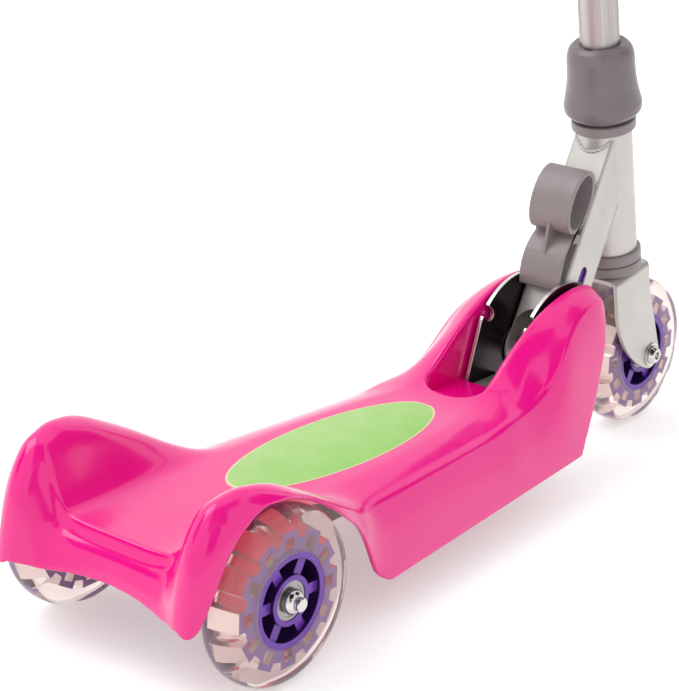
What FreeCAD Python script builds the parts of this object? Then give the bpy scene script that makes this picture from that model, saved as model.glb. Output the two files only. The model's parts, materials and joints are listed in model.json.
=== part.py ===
import FreeCAD, Part
import math
import os

Vec = FreeCAD.Vector

# All sizes in millimetres.
# +X is the way the scooter rolls, +Y its left side, +Z up, the floor is z = 0.

# Running gear
wheelbase = 450.0
rear_track = 146.0
wheel_radius = 50.0
wheel_width = 23.4
tread_round = 5.5
rim_outer_radius = 27.0
rim_thickness = 4.0
core_width = 22.2
spoke_count = 6
spoke_thickness = 6.5
spoke_width = 17.0
boss_wall = 3.2
tooth_count = 12
tooth_root_radius = 34.2
tooth_tip_radius = 38.5
tooth_width = 12.0
tooth_ring_width = 16.0
window_height = 6.5
window_width = 6.4
window_root_gap = 1.4
bearing_radius = 11.0
bearing_width = 7.0
bearing_recess = 0.5
bearing_shoulder = 2.5
axle_radius = 4.0
running_clearance = 0.04
spacer_clearance = 0.15
spacer_wall = 1.9
end_gap = 0.3

# Rear axle
push_nut_radius = 7.1
push_nut_height = 5.2
axle_tip = 3.0
axle_neck_radius = 3.2
axle_neck_width = 0.9
axle_tube_radius = 6.0

# Under-frame
rail_height = 30.0
rail_wall = 1.5
rail_behind_axle = 26.0
rail_to_pivot = 22.5
cap_thickness = 3.0
cap_plug = 8.0
cap_clearance = 0.2
screw_radius = 2.0
screw_head_radius = 4.2
screw_head_height = 2.4
screw_length = 7.5
screw_access_radius = 6.0
screw_places = (70.0, 140.0, 210.0)
boss_radius = 6.5
tube_side_gap = 0.5
hinge_plate_thickness = 3.0
hinge_plate_radius = 48.5
rim_front_margin = 14.0
rim_rear_margin = 9.0
pivot_from_rear_axle = 339.5
pivot_height = 78.0
pivot_radius = 4.0
pivot_head_radius = 8.0
pivot_head_height = 4.4
pivot_bush_wall = 2.0
pivot_socket_half = 3.0
pivot_socket_depth = 2.4
plate_heel = 54.5
plate_lower_step = 16.0
plate_rail_lap = 4.0

# Deck shell
shell_wall = 3.0
deck_height = 74.0
deck_low = 15.0
deck_flat_half = 38.0
deck_half_rear = 64.0
deck_half_front = 50.0
deck_edge_drop = 7.5
skirt_flare = 14.0
skirt_clearance = 26.0
skirt_rise = 6.0
tail_overhang = 67.0
tail_lip = 44.0
tail_lip_middle = 50.0
fender_gap = 13.5
fender_lip_inset = 0.3
horn_width = 22.6
horn_drop = 1.0
label_centre = 135.0
label_length = 174.6
label_width = 62.0
label_thickness = 0.3
label_recess = 0.2
pocket_side_gap = 1.9
pocket_length = 99.5
pocket_round = 14.0
bracket_slot_gap = 1.0
bolt_head_gap = 2.5
rail_side_gap = 0.3
rib_thickness = 2.5
rib_places = (105.0, 175.0, 240.0)
rib_depth = 22.0

# Folding stem
fold_degrees = 76.7
stem_lean = 27.5
stem_width = 30.0
stem_depth = 32.0
stem_wall = 1.5
arch_height = 23.0
lock_pin_radius = 3.5
lock_pin_place = 42.5
lock_lift = 12.9
slot_clearance = 0.2
lock_notch_clearance = 0.4

# Steering column
rake = 11.0
fork_offset = 16.7
steerer_radius = 11.1
steerer_wall = 2.0
head_tube_radius = 18.0
head_tube_wall = 2.5
crown_top = 70.0
race_height = 7.4
race_radius = 20.4
cup_height = 7.6
head_tube_length = 85.2
upper_cup_height = 6.8
upper_cup_radius = 20.8
cup_spigot = 9.0
washer_height = 3.0
washer_radius = 18.0
bell_height = 47.5
bell_foot_radius = 25.0
bell_waist_radius = 21.5
bell_wall = 3.0
column_radius = 12.7
column_wall = 1.4
steerer_above_washer = 70.0
cross_pin_radius = 3.0
cross_pin_rise = 14.0
handlebar_height = 634.0
handlebar_length = 254.0
handlebar_radius = 11.1
handlebar_wall = 1.5
grip_length = 98.0
grip_radius = 15.0
grip_flange_radius = 18.0
grip_flange_width = 4.0
bar_end_radius = 15.5
bar_end_height = 8.0
bar_plug_length = 14.0

# Fork
fork_thickness = 3.0
fork_inner = 15.0
fork_bend = 5.0
fork_rear = -20.0
fork_front = 20.0
fork_front_waist = 18.3
fork_waist_place = 54.0
fork_straight_place = 46.0
fork_end_radius = 10.0
front_washer_radius = 8.0
front_washer_height = 1.2
front_head_radius = 6.4
front_head_height = 3.8
front_socket_radius = 2.5
front_socket_depth = 2.4
front_nut_radius = 6.6
front_nut_height = 6.0

# Latch
slider_low = 34.0
slider_high = 70.0
slider_clearance = 0.5
lever_gap = 0.3
lever_wall = 3.3
loop_place = 94.5
loop_length = 42.0
loop_depth = 25.0
waist_place = 72.5
waist_depth = 7.5
arch_end = 36.8
arch_end_depth = 6.7
arch_middle_depth = 12.5
lever_rib_thickness = 2.2
neck_width = 9.0
neck_length = 10.0
spring_radius = 5.0
spring_wire = 1.2
spring_turns = 6
spring_length = 26.0
stop_pin_radius = 2.0

# Places worked out from the sizes above
rear_x = -(wheelbase + wheel_radius - tail_overhang) / 2
front_x = rear_x + wheelbase
pivot_x = rear_x + pivot_from_rear_axle
rail_half = stem_width / 2 + tube_side_gap
rail_bottom = wheel_radius - rail_height / 2
rail_top = wheel_radius + rail_height / 2
rail_front = pivot_x - rail_to_pivot
rail_rear = rear_x - rail_behind_axle
plate_outer = rail_half + hinge_plate_thickness
pocket_half = plate_outer + pocket_side_gap
pocket_floor = rail_top + shell_wall
horn_top = pivot_height + hinge_plate_radius - horn_drop
fender_top = 2 * wheel_radius + fender_gap + shell_wall
core_half = core_width / 2
bearing_outer_face = core_half - bearing_recess
bearing_inner_face = bearing_outer_face - bearing_width
rake_sin = math.sin(math.radians(rake))
rake_cos = math.cos(math.radians(rake))
steer_x = front_x - fork_offset * rake_cos
steer_z = wheel_radius - fork_offset * rake_sin
race_top = crown_top + race_height
cup_low = race_top + end_gap
head_low = cup_low + cup_height
head_top = head_low + head_tube_length
upper_cup_top = head_top + upper_cup_height
washer_low = upper_cup_top + end_gap
bell_low = washer_low + washer_height
bar_place = (handlebar_height - steer_z) / rake_cos
tube_rear = stem_depth / 2


def cylinder(radius, low, high):
    return Part.makeCylinder(radius, high - low, Vec(0, 0, low))


def ring(inner, outer, low, high):
    return cylinder(outer, low, high).cut(cylinder(inner, low - 1, high + 1))


def box(x0, x1, y0, y1, z0, z1):
    return Part.makeBox(x1 - x0, y1 - y0, z1 - z0, Vec(x0, y0, z0))


def turned(points):
    outline = [Vec(r, 0, z) for r, z in points]
    outline.append(outline[0])
    face = Part.Face(Part.makePolygon(outline))
    return face.revolve(Vec(0, 0, 0), Vec(0, 0, 1), 360)


def fused(shapes):
    return shapes[0].fuse(shapes[1:]).removeSplitter()


def side_plate(edges, y0, y1):
    """A flat outline in the X-Z plane, made thick from y0 to y1."""
    face = Part.Face(Part.Wire(edges))
    face.translate(Vec(0, y0, 0))
    return face.extrude(Vec(0, y1 - y0, 0))


def polygon_plate(points, y0, y1):
    corners = [Vec(x, 0, z) for x, z in points]
    corners.append(corners[0])
    return side_plate(Part.makePolygon(corners).Edges, y0, y1)


def line(a, b):
    return Part.makeLine(Vec(a[0], 0, a[1]), Vec(b[0], 0, b[1]))


def arc(a, b, c):
    return Part.Arc(Vec(a[0], 0, a[1]), Vec(b[0], 0, b[1]), Vec(c[0], 0, c[1])).toShape()


def along_y(shape, x, y, z):
    """Turns a shape built on the Z axis to lie along Y, with its middle at x, y, z."""
    turned_shape = shape.copy()
    turned_shape.rotate(Vec(0, 0, 0), Vec(1, 0, 0), -90)
    turned_shape.translate(Vec(x, y, z))
    return turned_shape


def on_stem(shape):
    """From the stem's own frame: z up the tube from the fold pivot, x forward."""
    placed = shape.copy()
    placed.rotate(Vec(0, 0, 0), Vec(0, 1, 0), stem_lean)
    placed.translate(Vec(pivot_x, 0, pivot_height))
    return placed


def on_column(shape):
    """From the column's own frame: z up the steering axis, x forward, axle at fork_offset, 0, 0."""
    placed = shape.copy()
    placed.rotate(Vec(0, 0, 0), Vec(0, 1, 0), -rake)
    placed.translate(Vec(steer_x, 0, steer_z))
    return placed


# Wheels, built about the Z axis


def wheel_core():
    boss_radius_outer = bearing_radius + boss_wall
    rim_inner = rim_outer_radius - rim_thickness
    parts = [
        ring(rim_inner, rim_outer_radius, -core_half, core_half),
        cylinder(boss_radius_outer, -core_half, core_half),
        ring(rim_outer_radius - 1, tooth_root_radius, -tooth_ring_width / 2, tooth_ring_width / 2),
    ]
    overlap = 1.0
    spoke = box(boss_radius_outer - overlap, rim_inner + overlap,
                -spoke_thickness / 2, spoke_thickness / 2, -spoke_width / 2, spoke_width / 2)
    tooth = box(tooth_root_radius - overlap, tooth_tip_radius,
                -tooth_width / 2, tooth_width / 2, -tooth_ring_width / 2, tooth_ring_width / 2)
    for i in range(spoke_count):
        copy = spoke.copy()
        copy.rotate(Vec(0, 0, 0), Vec(0, 0, 1), i * 360.0 / spoke_count)
        parts.append(copy)
    for i in range(tooth_count):
        copy = tooth.copy()
        copy.rotate(Vec(0, 0, 0), Vec(0, 0, 1), i * 360.0 / tooth_count)
        parts.append(copy)
    core = fused(parts)
    window_low = rim_outer_radius + window_root_gap
    window = box(window_low, window_low + window_height,
                 -window_width / 2, window_width / 2, -tooth_ring_width, tooth_ring_width)
    cuts = [
        cylinder(bearing_radius - bearing_shoulder, -core_half - 1, core_half + 1),
        cylinder(bearing_radius, bearing_inner_face, core_half + 1),
        cylinder(bearing_radius, -core_half - 1, -bearing_inner_face),
    ]
    for i in range(tooth_count):
        copy = window.copy()
        copy.rotate(Vec(0, 0, 0), Vec(0, 0, 1), i * 360.0 / tooth_count)
        cuts.append(copy)
    return core.cut(cuts)


def wheel_tyre(core):
    half = wheel_width / 2
    shoulder = wheel_radius - tread_round
    edges = [
        line((rim_outer_radius, -half), (shoulder, -half)),
        arc((shoulder, -half), (wheel_radius, 0), (shoulder, half)),
        line((shoulder, half), (rim_outer_radius, half)),
        line((rim_outer_radius, half), (rim_outer_radius, -half)),
    ]
    solid = Part.Face(Part.Wire(edges)).revolve(Vec(0, 0, 0), Vec(0, 0, 1), 360)
    return solid.cut(core)


def wheel_bearings():
    bore = axle_radius + running_clearance
    race = 2.0
    shield = 0.4
    low, high = bearing_inner_face, bearing_outer_face
    profile = [
        (bore, low), (bearing_radius, low), (bearing_radius, high),
        (bearing_radius - race, high), (bearing_radius - race, high - shield),
        (bore + race, high - shield), (bore + race, high), (bore, high),
    ]
    outer = turned(profile)
    inner = turned([(r, -z) for r, z in reversed(profile)])
    return Part.makeCompound([outer, inner])


def wheel_spacer():
    bore = axle_radius + spacer_clearance
    return ring(bore, bore + spacer_wall - spacer_clearance, -bearing_inner_face, bearing_inner_face)


# Rear axle, built about the Z axis


def rear_axle():
    nut_seat = rear_track / 2 + bearing_outer_face + end_gap
    nut_top = nut_seat + push_nut_height
    tip = nut_top + axle_tip
    bevel = 0.6
    neck = nut_top + axle_neck_width
    half = [
        (axle_radius, nut_top), (axle_neck_radius, nut_top), (axle_neck_radius, neck),
        (axle_radius - bevel / 2, neck), (axle_radius, neck + bevel / 2),
        (axle_radius, tip - bevel), (axle_radius - bevel, tip), (0, tip),
    ]
    profile = [(r, -z) for r, z in reversed(half)] + half
    return along_y(turned(profile), rear_x, 0, wheel_radius)


def push_nuts():
    low = rear_track / 2 + bearing_outer_face + end_gap
    high = low + push_nut_height
    collar = core_half + end_gap - bearing_outer_face
    lip = 5.6
    edges = [
        line((axle_radius, low), (lip, low)),
        line((lip, low), (lip, low + collar)),
        line((lip, low + collar), (push_nut_radius, low + collar)),
        arc((push_nut_radius, low + collar), (push_nut_radius * 0.86, high - 1.4), (axle_radius, high)),
        line((axle_radius, high), (axle_radius, low)),
    ]
    nut = Part.Face(Part.Wire(edges)).revolve(Vec(0, 0, 0), Vec(0, 0, 1), 360)
    left = along_y(nut, rear_x, 0, wheel_radius)
    right = left.mirror(Vec(0, 0, 0), Vec(0, 1, 0))
    return Part.makeCompound([left, right])


def axle_tube():
    half = rear_track / 2 - bearing_outer_face - end_gap
    tube = ring(axle_radius + spacer_clearance, axle_tube_radius, -half, half)
    return along_y(tube, rear_x, 0, wheel_radius)


# Under-frame


def main_rail():
    outer = box(rail_rear, rail_front, -rail_half, rail_half, rail_bottom, rail_top)
    outer = outer.makeFillet(2.0, [e for e in outer.Edges if e.Length > rail_front - rail_rear - 1])
    inner_half = rail_half - rail_wall
    inner = box(rail_rear - 1, rail_front + 1, -inner_half, inner_half,
                rail_bottom + rail_wall, rail_top - rail_wall)
    cuts = [inner, along_y(cylinder(axle_tube_radius, -rail_half - 1, rail_half + 1),
                           rear_x, 0, wheel_radius)]
    for place in screw_places:
        hole = cylinder(screw_radius + slot_clearance, rail_top - rail_wall - 1, rail_top + 1)
        access = cylinder(screw_access_radius, rail_bottom - 1, rail_bottom + rail_wall + 1)
        for cutter in (hole, access):
            cutter.translate(Vec(rear_x + place, 0, 0))
            cuts.append(cutter)
    return outer.cut(cuts)


def rail_end_cap():
    plug_half = rail_half - rail_wall - cap_clearance
    plug_low = rail_bottom + rail_wall + cap_clearance
    plug_high = rail_top - rail_wall - cap_clearance
    face = box(rail_rear - cap_thickness, rail_rear, -rail_half, rail_half, rail_bottom, rail_top)
    corners = [e for e in face.Edges if abs(e.BoundBox.XLength - cap_thickness) < 0.01]
    face = face.makeFillet(2.0, corners)
    plug = box(rail_rear - 1, rail_rear + cap_plug, -plug_half, plug_half, plug_low, plug_high)
    hollow = box(rail_rear, rail_rear + cap_plug + 1, -plug_half + 2, plug_half - 2,
                 plug_low + 2, plug_high - 2)
    return face.fuse(plug).cut(hollow).removeSplitter()


def polar(degrees, radius):
    angle = math.radians(degrees)
    return (pivot_x + radius * math.cos(angle), pivot_height + radius * math.sin(angle))


def hinge_plate(side):
    upright = 90.0 - stem_lean
    folded = upright + fold_degrees
    rim_front = upright - rim_front_margin
    rim_rear = folded + rim_rear_margin
    nose = polar(rim_front, hinge_plate_radius)
    heel = polar(rim_rear, hinge_plate_radius)
    step = pivot_height - plate_lower_step
    toe = pivot_head_radius + 2.0
    rear_step = (pivot_x - plate_heel + 3.0, pivot_height - 5.0)
    low_rear = (pivot_x - plate_heel, rail_bottom + plate_rail_lap)
    low_front = (pivot_x - 14.0, rail_bottom + plate_rail_lap)
    edges = [
        arc(nose, polar(upright + 20, hinge_plate_radius), heel),
        line(heel, rear_step),
        line(rear_step, (low_rear[0], step)),
        line((low_rear[0], step), low_rear),
        line(low_rear, low_front),
        line(low_front, (pivot_x + toe, step)),
        line((pivot_x + toe, step), (pivot_x + 1.6 * toe, pivot_height)),
        line((pivot_x + 1.6 * toe, pivot_height), nose),
    ]
    y0 = rail_half if side > 0 else -plate_outer
    plate = side_plate(edges, y0, y0 + hinge_plate_thickness)
    notch_radius = lock_pin_radius + lock_notch_clearance
    cuts = [along_y(cylinder(pivot_radius + slot_clearance, -plate_outer - 1, plate_outer + 1),
                    pivot_x, 0, pivot_height)]
    for angle in (upright, folded):
        seat = along_y(cylinder(notch_radius, -plate_outer - 1, plate_outer + 1),
                       pivot_x, 0, pivot_height)
        mouth = box(0, hinge_plate_radius, -plate_outer - 1, plate_outer + 1, -notch_radius, notch_radius)
        mouth.translate(Vec(lock_pin_place, 0, 0))
        mouth.rotate(Vec(0, 0, 0), Vec(0, 1, 0), -angle)
        mouth.translate(Vec(pivot_x, 0, pivot_height))
        x, z = polar(angle, lock_pin_place)
        seat.translate(Vec(x - pivot_x, 0, z - pivot_height))
        cuts += [seat, mouth]
    return plate.cut(cuts)


def hexagon(across_flats_half, low, high):
    corner = across_flats_half / math.cos(math.radians(30))
    points = [Vec(corner * math.cos(math.radians(60 * i)), corner * math.sin(math.radians(60 * i)), low)
              for i in range(7)]
    return Part.Face(Part.makePolygon(points)).extrude(Vec(0, 0, high - low))


def pivot_bolt():
    seat = plate_outer
    top = seat + pivot_head_height
    bevel = 1.2
    overlap = 0.5
    tip = 1.5
    shank = cylinder(pivot_radius, -seat - overlap, top + tip)
    head = turned([
        (0, -top), (pivot_head_radius - bevel, -top), (pivot_head_radius, -top + bevel),
        (pivot_head_radius, -seat), (0, -seat),
    ])
    socket = hexagon(pivot_socket_half, -top - 1, -top + pivot_socket_depth)
    return along_y(shank.fuse(head).cut(socket).removeSplitter(), pivot_x, 0, pivot_height)


def pivot_nut():
    nut = hexagon(pivot_head_radius - 1.5, plate_outer, plate_outer + pivot_head_height)
    nut = nut.cut(cylinder(pivot_radius, plate_outer - 1, plate_outer + pivot_head_height + 1))
    return along_y(nut, pivot_x, 0, pivot_height)


def deck_screws():
    screws = []
    for place in screw_places:
        seat = rail_top - rail_wall
        shank = cylinder(screw_radius, seat - 0.5, seat + screw_length)
        head = cylinder(screw_head_radius, seat - screw_head_height, seat)
        slot = hexagon(1.3, seat - screw_head_height - 1, seat - 1.0)
        screw = shank.fuse(head).cut(slot).removeSplitter()
        screw.translate(Vec(rear_x + place, 0, 0))
        screws.append(screw)
    return Part.makeCompound(screws)


# Deck shell


def fender_section(x, centre, crest, spread):
    """Across a rear wheel: flat centre, a hump over the wheel and its side wall.

    A spread under 1 brings the outside in, so that the rear corners are round from above.
    """
    rise = crest - centre
    middle = rear_track / 2
    lip = middle + wheel_width / 2 - fender_lip_inset
    inner = middle - 35
    shape = [
        (middle - 22, 0.52), (middle - 13.5, 0.90), (middle - 4, 1.0),
        (middle + 6.5, 0.78), (lip - 0.8, 0.5),
    ]
    half = [(0, centre), (inner / 2, centre), (inner, centre + 0.04 * rise)]
    half += [(inner + (y - inner) * spread, centre + share * rise) for y, share in shape]
    half.append((inner + (lip - inner) * spread, deck_low))
    return x, half


def deck_section(x, inner, inner_height, shoulder, shoulder_height, edge):
    """Across the deck or the horns: flat or pocket centre, rounded shoulder, splayed skirt."""
    step = (shoulder - inner) / 3.0
    drop = (inner_height - shoulder_height) / 3.0
    half = [
        (0, inner_height), (inner / 2, inner_height), (inner, inner_height),
        (inner + step, inner_height - 0.6 * drop), (inner + 2 * step, inner_height - 1.6 * drop),
        (shoulder, shoulder_height), (shoulder + 3.2, shoulder_height - 3.0),
        (shoulder + 4.6, shoulder_height - 8.0), (edge, deck_low),
    ]
    return x, half


def tail_sections():
    """From the tail's lip forward over the wheels, placed by shares of the overhang."""
    hump = fender_top - deck_height
    shares = [
        (-1.00, -1.30, -0.50, 0.45), (-0.94, -1.05, 0.0, 0.61), (-0.866, -0.69, 0.31, 0.72),
        (-0.776, -0.38, 0.58, 0.81), (-0.657, -0.16, 0.82, 0.88), (-0.567, 0, 0.92, 0.92),
        (-0.328, 0, 0.99, 0.97), (-0.06, 0, 0.93, 1.0), (0.224, 0, 0.73, 1.0),
        (0.567, 0, 0.46, 1.0), (0.925, 0, 0.13, 1.0),
    ]
    return [
        fender_section(rear_x + share * tail_overhang, deck_height + centre * hump,
                       deck_height + crest * hump, spread)
        for share, centre, crest, spread in shares
    ]


def middle_sections():
    """The standing surface, which narrows towards the horns."""
    first = rear_x + 1.31 * tail_overhang
    last = pivot_x - 2.5 * hinge_plate_radius
    count = 4
    sections = []
    for i in range(count):
        share = i / (count - 1.0)
        half = deck_half_rear + (deck_half_front - deck_half_rear) * share
        flat = deck_flat_half - 10.0 * share * share
        edge_height = deck_height - deck_edge_drop
        sections.append(deck_section(first + (last - first) * share, flat, deck_height,
                                     half, edge_height, half + skirt_flare + 3.5 * share))
    return sections


def horn_sections():
    """The two horns beside the fold bracket, placed by shares of the bracket's rim radius."""
    shares = [
        (-2.09, 0.12, -0.05, 1.15, -0.07, 0.85), (-1.72, 0.03, 0.08, 1.0, 0.144, 0.90),
        (-1.144, 0, 0.536, 1.0, 0.31, 0.92), (-0.567, 0, 0.845, 1.0, 0.485, 0.88),
        (0.113, 0, 0.98, 0.88, 0.63, 0.50), (0.35, 0, 0.95, 0.62, 0.65, 0.34),
        (0.67, 0, 0.83, 0.30, 0.64, 0.32), (1.0, 0, 0.54, 0.15, 0.39, 0.30),
    ]
    sections = []
    for place, widen, rise, reach, shoulder_rise, flare in shares:
        inner = pocket_half * (1 + widen)
        shoulder = pocket_half + horn_width * reach
        sections.append(deck_section(
            pivot_x + place * hinge_plate_radius, inner, pivot_height + rise * hinge_plate_radius,
            shoulder, pivot_height + shoulder_rise * hinge_plate_radius,
            shoulder + 4.6 + skirt_flare * flare))
    return sections


def deck_sections():
    return tail_sections() + middle_sections() + horn_sections()


def offset_outline(points, distance):
    """Moves each corner of an open outline inwards by distance, along the corner's bisector."""
    moved = []
    last = len(points) - 1
    for i, (y, z) in enumerate(points):
        before = points[max(i - 1, 0)]
        after = points[min(i + 1, last)]
        normals = []
        for (y0, z0), (y1, z1) in ((before, (y, z)), ((y, z), after)):
            length = math.hypot(y1 - y0, z1 - z0)
            if length > 0:
                normals.append((-(z1 - z0) / length, (y1 - y0) / length))
        ny = sum(n[0] for n in normals) / len(normals)
        nz = sum(n[1] for n in normals) / len(normals)
        square = ny * ny + nz * nz
        moved.append((y + distance * ny / square, z + distance * nz / square))
    return moved


def deck_body(inset, low):
    wires = []
    sections = deck_sections()
    last = len(sections) - 1
    for i, (x, half) in enumerate(sections):
        whole = [(-y, z) for y, z in reversed(half[1:])] + half
        if inset:
            whole = offset_outline(whole, -inset)
            whole[0] = (whole[0][0], low)
            whole[-1] = (whole[-1][0], low)
        place = x
        if inset and i == 0:
            place = x + inset
        if inset and i == last:
            place = x + 1
        corners = [Vec(place, y, z) for y, z in whole]
        corners.append(corners[0])
        wires.append(Part.makePolygon(corners))
    return Part.makeLoft(wires, True, True)


def pocket_block(grow, low):
    """The space between the horns: straight sides and a round rear end, seen from above."""
    half = pocket_half + grow
    rear = pivot_x - pocket_length - grow
    straight = rear + pocket_round + grow
    front = pivot_x + pocket_length
    high = horn_top + shell_wall + 1
    corner = 0.72
    points = [
        Vec(front, -half, low), Vec(straight, -half, low),
        Vec(rear + pocket_round * (1 - corner), -half * corner, low), Vec(rear, 0, low),
        Vec(rear + pocket_round * (1 - corner), half * corner, low), Vec(straight, half, low),
        Vec(front, half, low),
    ]
    edges = [
        Part.makeLine(points[0], points[1]),
        Part.Arc(points[1], points[2], points[3]).toShape(),
        Part.Arc(points[3], points[4], points[5]).toShape(),
        Part.makeLine(points[5], points[6]),
        Part.makeLine(points[6], points[0]),
    ]
    return Part.Face(Part.Wire(edges)).extrude(Vec(0, 0, high - low))


def wheel_arch(side):
    """What is cut away beside a rear wheel, below the fender's lip, in shares of its radius."""
    shares = [
        (-1.22, -1.02), (-1.22, -0.28), (-1.25, 0.24), (-1.17, 0.68), (-0.88, 0.98), (-0.48, 1.12),
        (0.06, 1.08), (0.58, 0.87), (0.94, 0.52), (1.24, 0.04), (1.64, -0.32), (1.94, -0.48),
        (1.94, -1.02),
    ]
    inside = rear_track / 2 - 1.0
    outside = rear_track
    y0, y1 = (inside, outside) if side > 0 else (-outside, -inside)
    points = [(rear_x + x * wheel_radius, wheel_radius * (1 + z)) for x, z in shares]
    return polygon_plate(points, y0, y1)


def skirt_trim():
    """What is cut away under the skirt and in front of the horns, in shares of the rim radius."""
    rear = rear_x + 0.8 * wheel_radius
    behind = rear_x + 1.94 * wheel_radius
    ahead = pivot_x + 2 * hinge_plate_radius
    skirt_end = pivot_x - 0.69 * hinge_plate_radius
    horn_front = [(0.03, -0.41), (0.36, -0.04), (0.63, 0.29), (0.75, 0.54), (0.78, 0.78)]
    points = [(rear, -1), (rear, skirt_clearance), (behind, skirt_clearance),
              (skirt_end, skirt_clearance + skirt_rise)]
    points += [(pivot_x + x * hinge_plate_radius, pivot_height + z * hinge_plate_radius)
               for x, z in horn_front]
    points += [(ahead, points[-1][1]), (ahead, -1)]
    return polygon_plate(points, -rear_track, rear_track)


def tail_trim():
    """The arched lower edge of the tail and of the space behind the wheels."""
    half = rear_track / 2 - 7.0
    side = rear_track
    edges = [
        Part.Arc(Vec(0, -half, tail_lip), Vec(0, 0, tail_lip_middle), Vec(0, half, tail_lip)).toShape(),
        Part.makeLine(Vec(0, half, tail_lip), Vec(0, side, tail_lip)),
        Part.makeLine(Vec(0, side, tail_lip), Vec(0, side, -1)),
        Part.makeLine(Vec(0, side, -1), Vec(0, -side, -1)),
        Part.makeLine(Vec(0, -side, -1), Vec(0, -side, tail_lip)),
        Part.makeLine(Vec(0, -side, tail_lip), Vec(0, -half, tail_lip)),
    ]
    face = Part.Face(Part.Wire(edges))
    face.translate(Vec(rear_x - tail_overhang - 5, 0, 0))
    return face.extrude(Vec(tail_overhang + 0.9 * wheel_radius, 0, 0))


def deck_label():
    ellipse = Part.Ellipse(Vec(0, 0, 0), label_length / 2, label_width / 2)
    face = Part.Face(Part.Wire(ellipse.toShape()))
    film = face.extrude(Vec(0, 0, label_thickness))
    film.translate(Vec(rear_x + label_centre, 0, deck_height - label_recess))
    return film


def deck_shell():
    outer = deck_body(0, deck_low)
    inner = deck_body(shell_wall, deck_low - 10)
    shell = outer.cut(inner)
    walls = pocket_block(shell_wall, pocket_floor - shell_wall).common(outer)
    ribs = []
    for place in rib_places:
        rib = box(rear_x + place, rear_x + place + rib_thickness, -rear_track, rear_track,
                  deck_height - rib_depth, deck_height)
        ribs.append(rib.common(inner))
    bosses = []
    for place in screw_places:
        boss = cylinder(boss_radius, rail_top, deck_height - shell_wall / 2)
        boss.translate(Vec(rear_x + place, 0, 0))
        bosses.append(boss)
    shell = shell.fuse([walls] + ribs + bosses)
    rail_room_half = rail_half + rail_side_gap
    rail_room = box(rail_rear - cap_thickness - 1, front_x, -rail_room_half, rail_room_half, 0, rail_top)
    bracket_half = plate_outer + bracket_slot_gap
    bracket_room = box(pivot_x - plate_heel - 1.5, front_x + wheelbase, -bracket_half, bracket_half,
                       0, 2 * horn_top)
    bolt_reach = plate_outer + 2 * pivot_head_height
    bolt_room = along_y(cylinder(pivot_head_radius + bolt_head_gap, -bolt_reach, bolt_reach),
                        pivot_x, 0, pivot_height)
    cuts = [
        pocket_block(0, pocket_floor), rail_room, bracket_room, bolt_room,
        skirt_trim(), tail_trim(), wheel_arch(1), wheel_arch(-1),
    ]
    for place in screw_places:
        hole = cylinder(screw_radius, rail_top - 1, rail_top - rail_wall + screw_length)
        hole.translate(Vec(rear_x + place, 0, 0))
        cuts.append(hole)
    recess = deck_label()
    cuts.append(recess.fuse(recess.translated(Vec(0, 0, label_thickness))))
    return shell.cut(cuts)


# Folding stem, built in its own frame


def head_cylinder(radius, low, high):
    return on_column(cylinder(radius, low, high))


def stem_tube():
    half = stem_width / 2
    back = -tube_rear
    front = tube_rear
    high = 2.4 * head_tube_length
    outer = box(back, front, -half, half, 0, high)
    corner = 2.5
    outer = outer.makeFillet(corner, [e for e in outer.Edges if abs(e.Length - high) < 0.01])
    foot = along_y(cylinder(tube_rear, -half, half), 0, 0, 0)
    inner = box(back + stem_wall, front - stem_wall, -half + stem_wall, half - stem_wall,
                -tube_rear - 1, high + 1)
    arch_radius = half - stem_wall
    arch_low = arch_height - arch_radius
    arch = fused([
        box(back - 1, back + stem_wall + 4, -arch_radius, arch_radius, -tube_rear - 1, arch_low),
        along_x(cylinder(arch_radius, back - 1, back + stem_wall + 4), arch_low),
    ])
    pin_slot = lock_pin_radius + slot_clearance
    slot_top = lock_pin_place + lock_lift
    slot = fused([
        box(-pin_slot, pin_slot, -half - 1, half + 1, lock_pin_place, slot_top),
        along_y(cylinder(pin_slot, -half - 1, half + 1), 0, 0, lock_pin_place),
        along_y(cylinder(pin_slot, -half - 1, half + 1), 0, 0, slot_top),
    ])
    neck_half = neck_width / 2 + slot_clearance
    neck_low = waist_place - neck_length / 2 - slot_clearance
    neck_slot = box(back - 1, back + stem_wall + 1, -neck_half, neck_half,
                    neck_low, neck_low + neck_length + lock_lift + 2 * slot_clearance)
    stop_hole = along_y(cylinder(stop_pin_radius, -half - 1, half + 1), 0, 0, stop_place())
    bush_seat = along_y(cylinder(pivot_radius + running_clearance + pivot_bush_wall,
                                 -half - 1, half + 1), 0, 0, 0)
    tube = outer.fuse(foot).removeSplitter().cut([inner, arch, slot, neck_slot, stop_hole, bush_seat])
    tube = on_stem(tube)
    above = on_column(box(-200, 200, -100, 100, head_top - 0.8, head_top + 400))
    ahead = on_column(box(0, 200, -100, 100, -100, head_top + 400))
    return tube.cut([head_cylinder(head_tube_radius, 0, 400), above, ahead])


def stop_place():
    return slider_high + spring_length


def along_x(shape, height):
    """Turns a shape built on the Z axis to lie along X at a height."""
    turned_shape = shape.copy()
    turned_shape.rotate(Vec(0, 0, 0), Vec(0, 1, 0), 90)
    turned_shape.translate(Vec(0, 0, height))
    return turned_shape


def pivot_bush():
    half = stem_width / 2
    bore = pivot_radius + running_clearance
    bush = ring(bore, bore + pivot_bush_wall, -half, half)
    return on_stem(along_y(bush, 0, 0, 0))


def head_tube():
    return on_column(ring(head_tube_radius - head_tube_wall, head_tube_radius, head_low, head_top))


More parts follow.
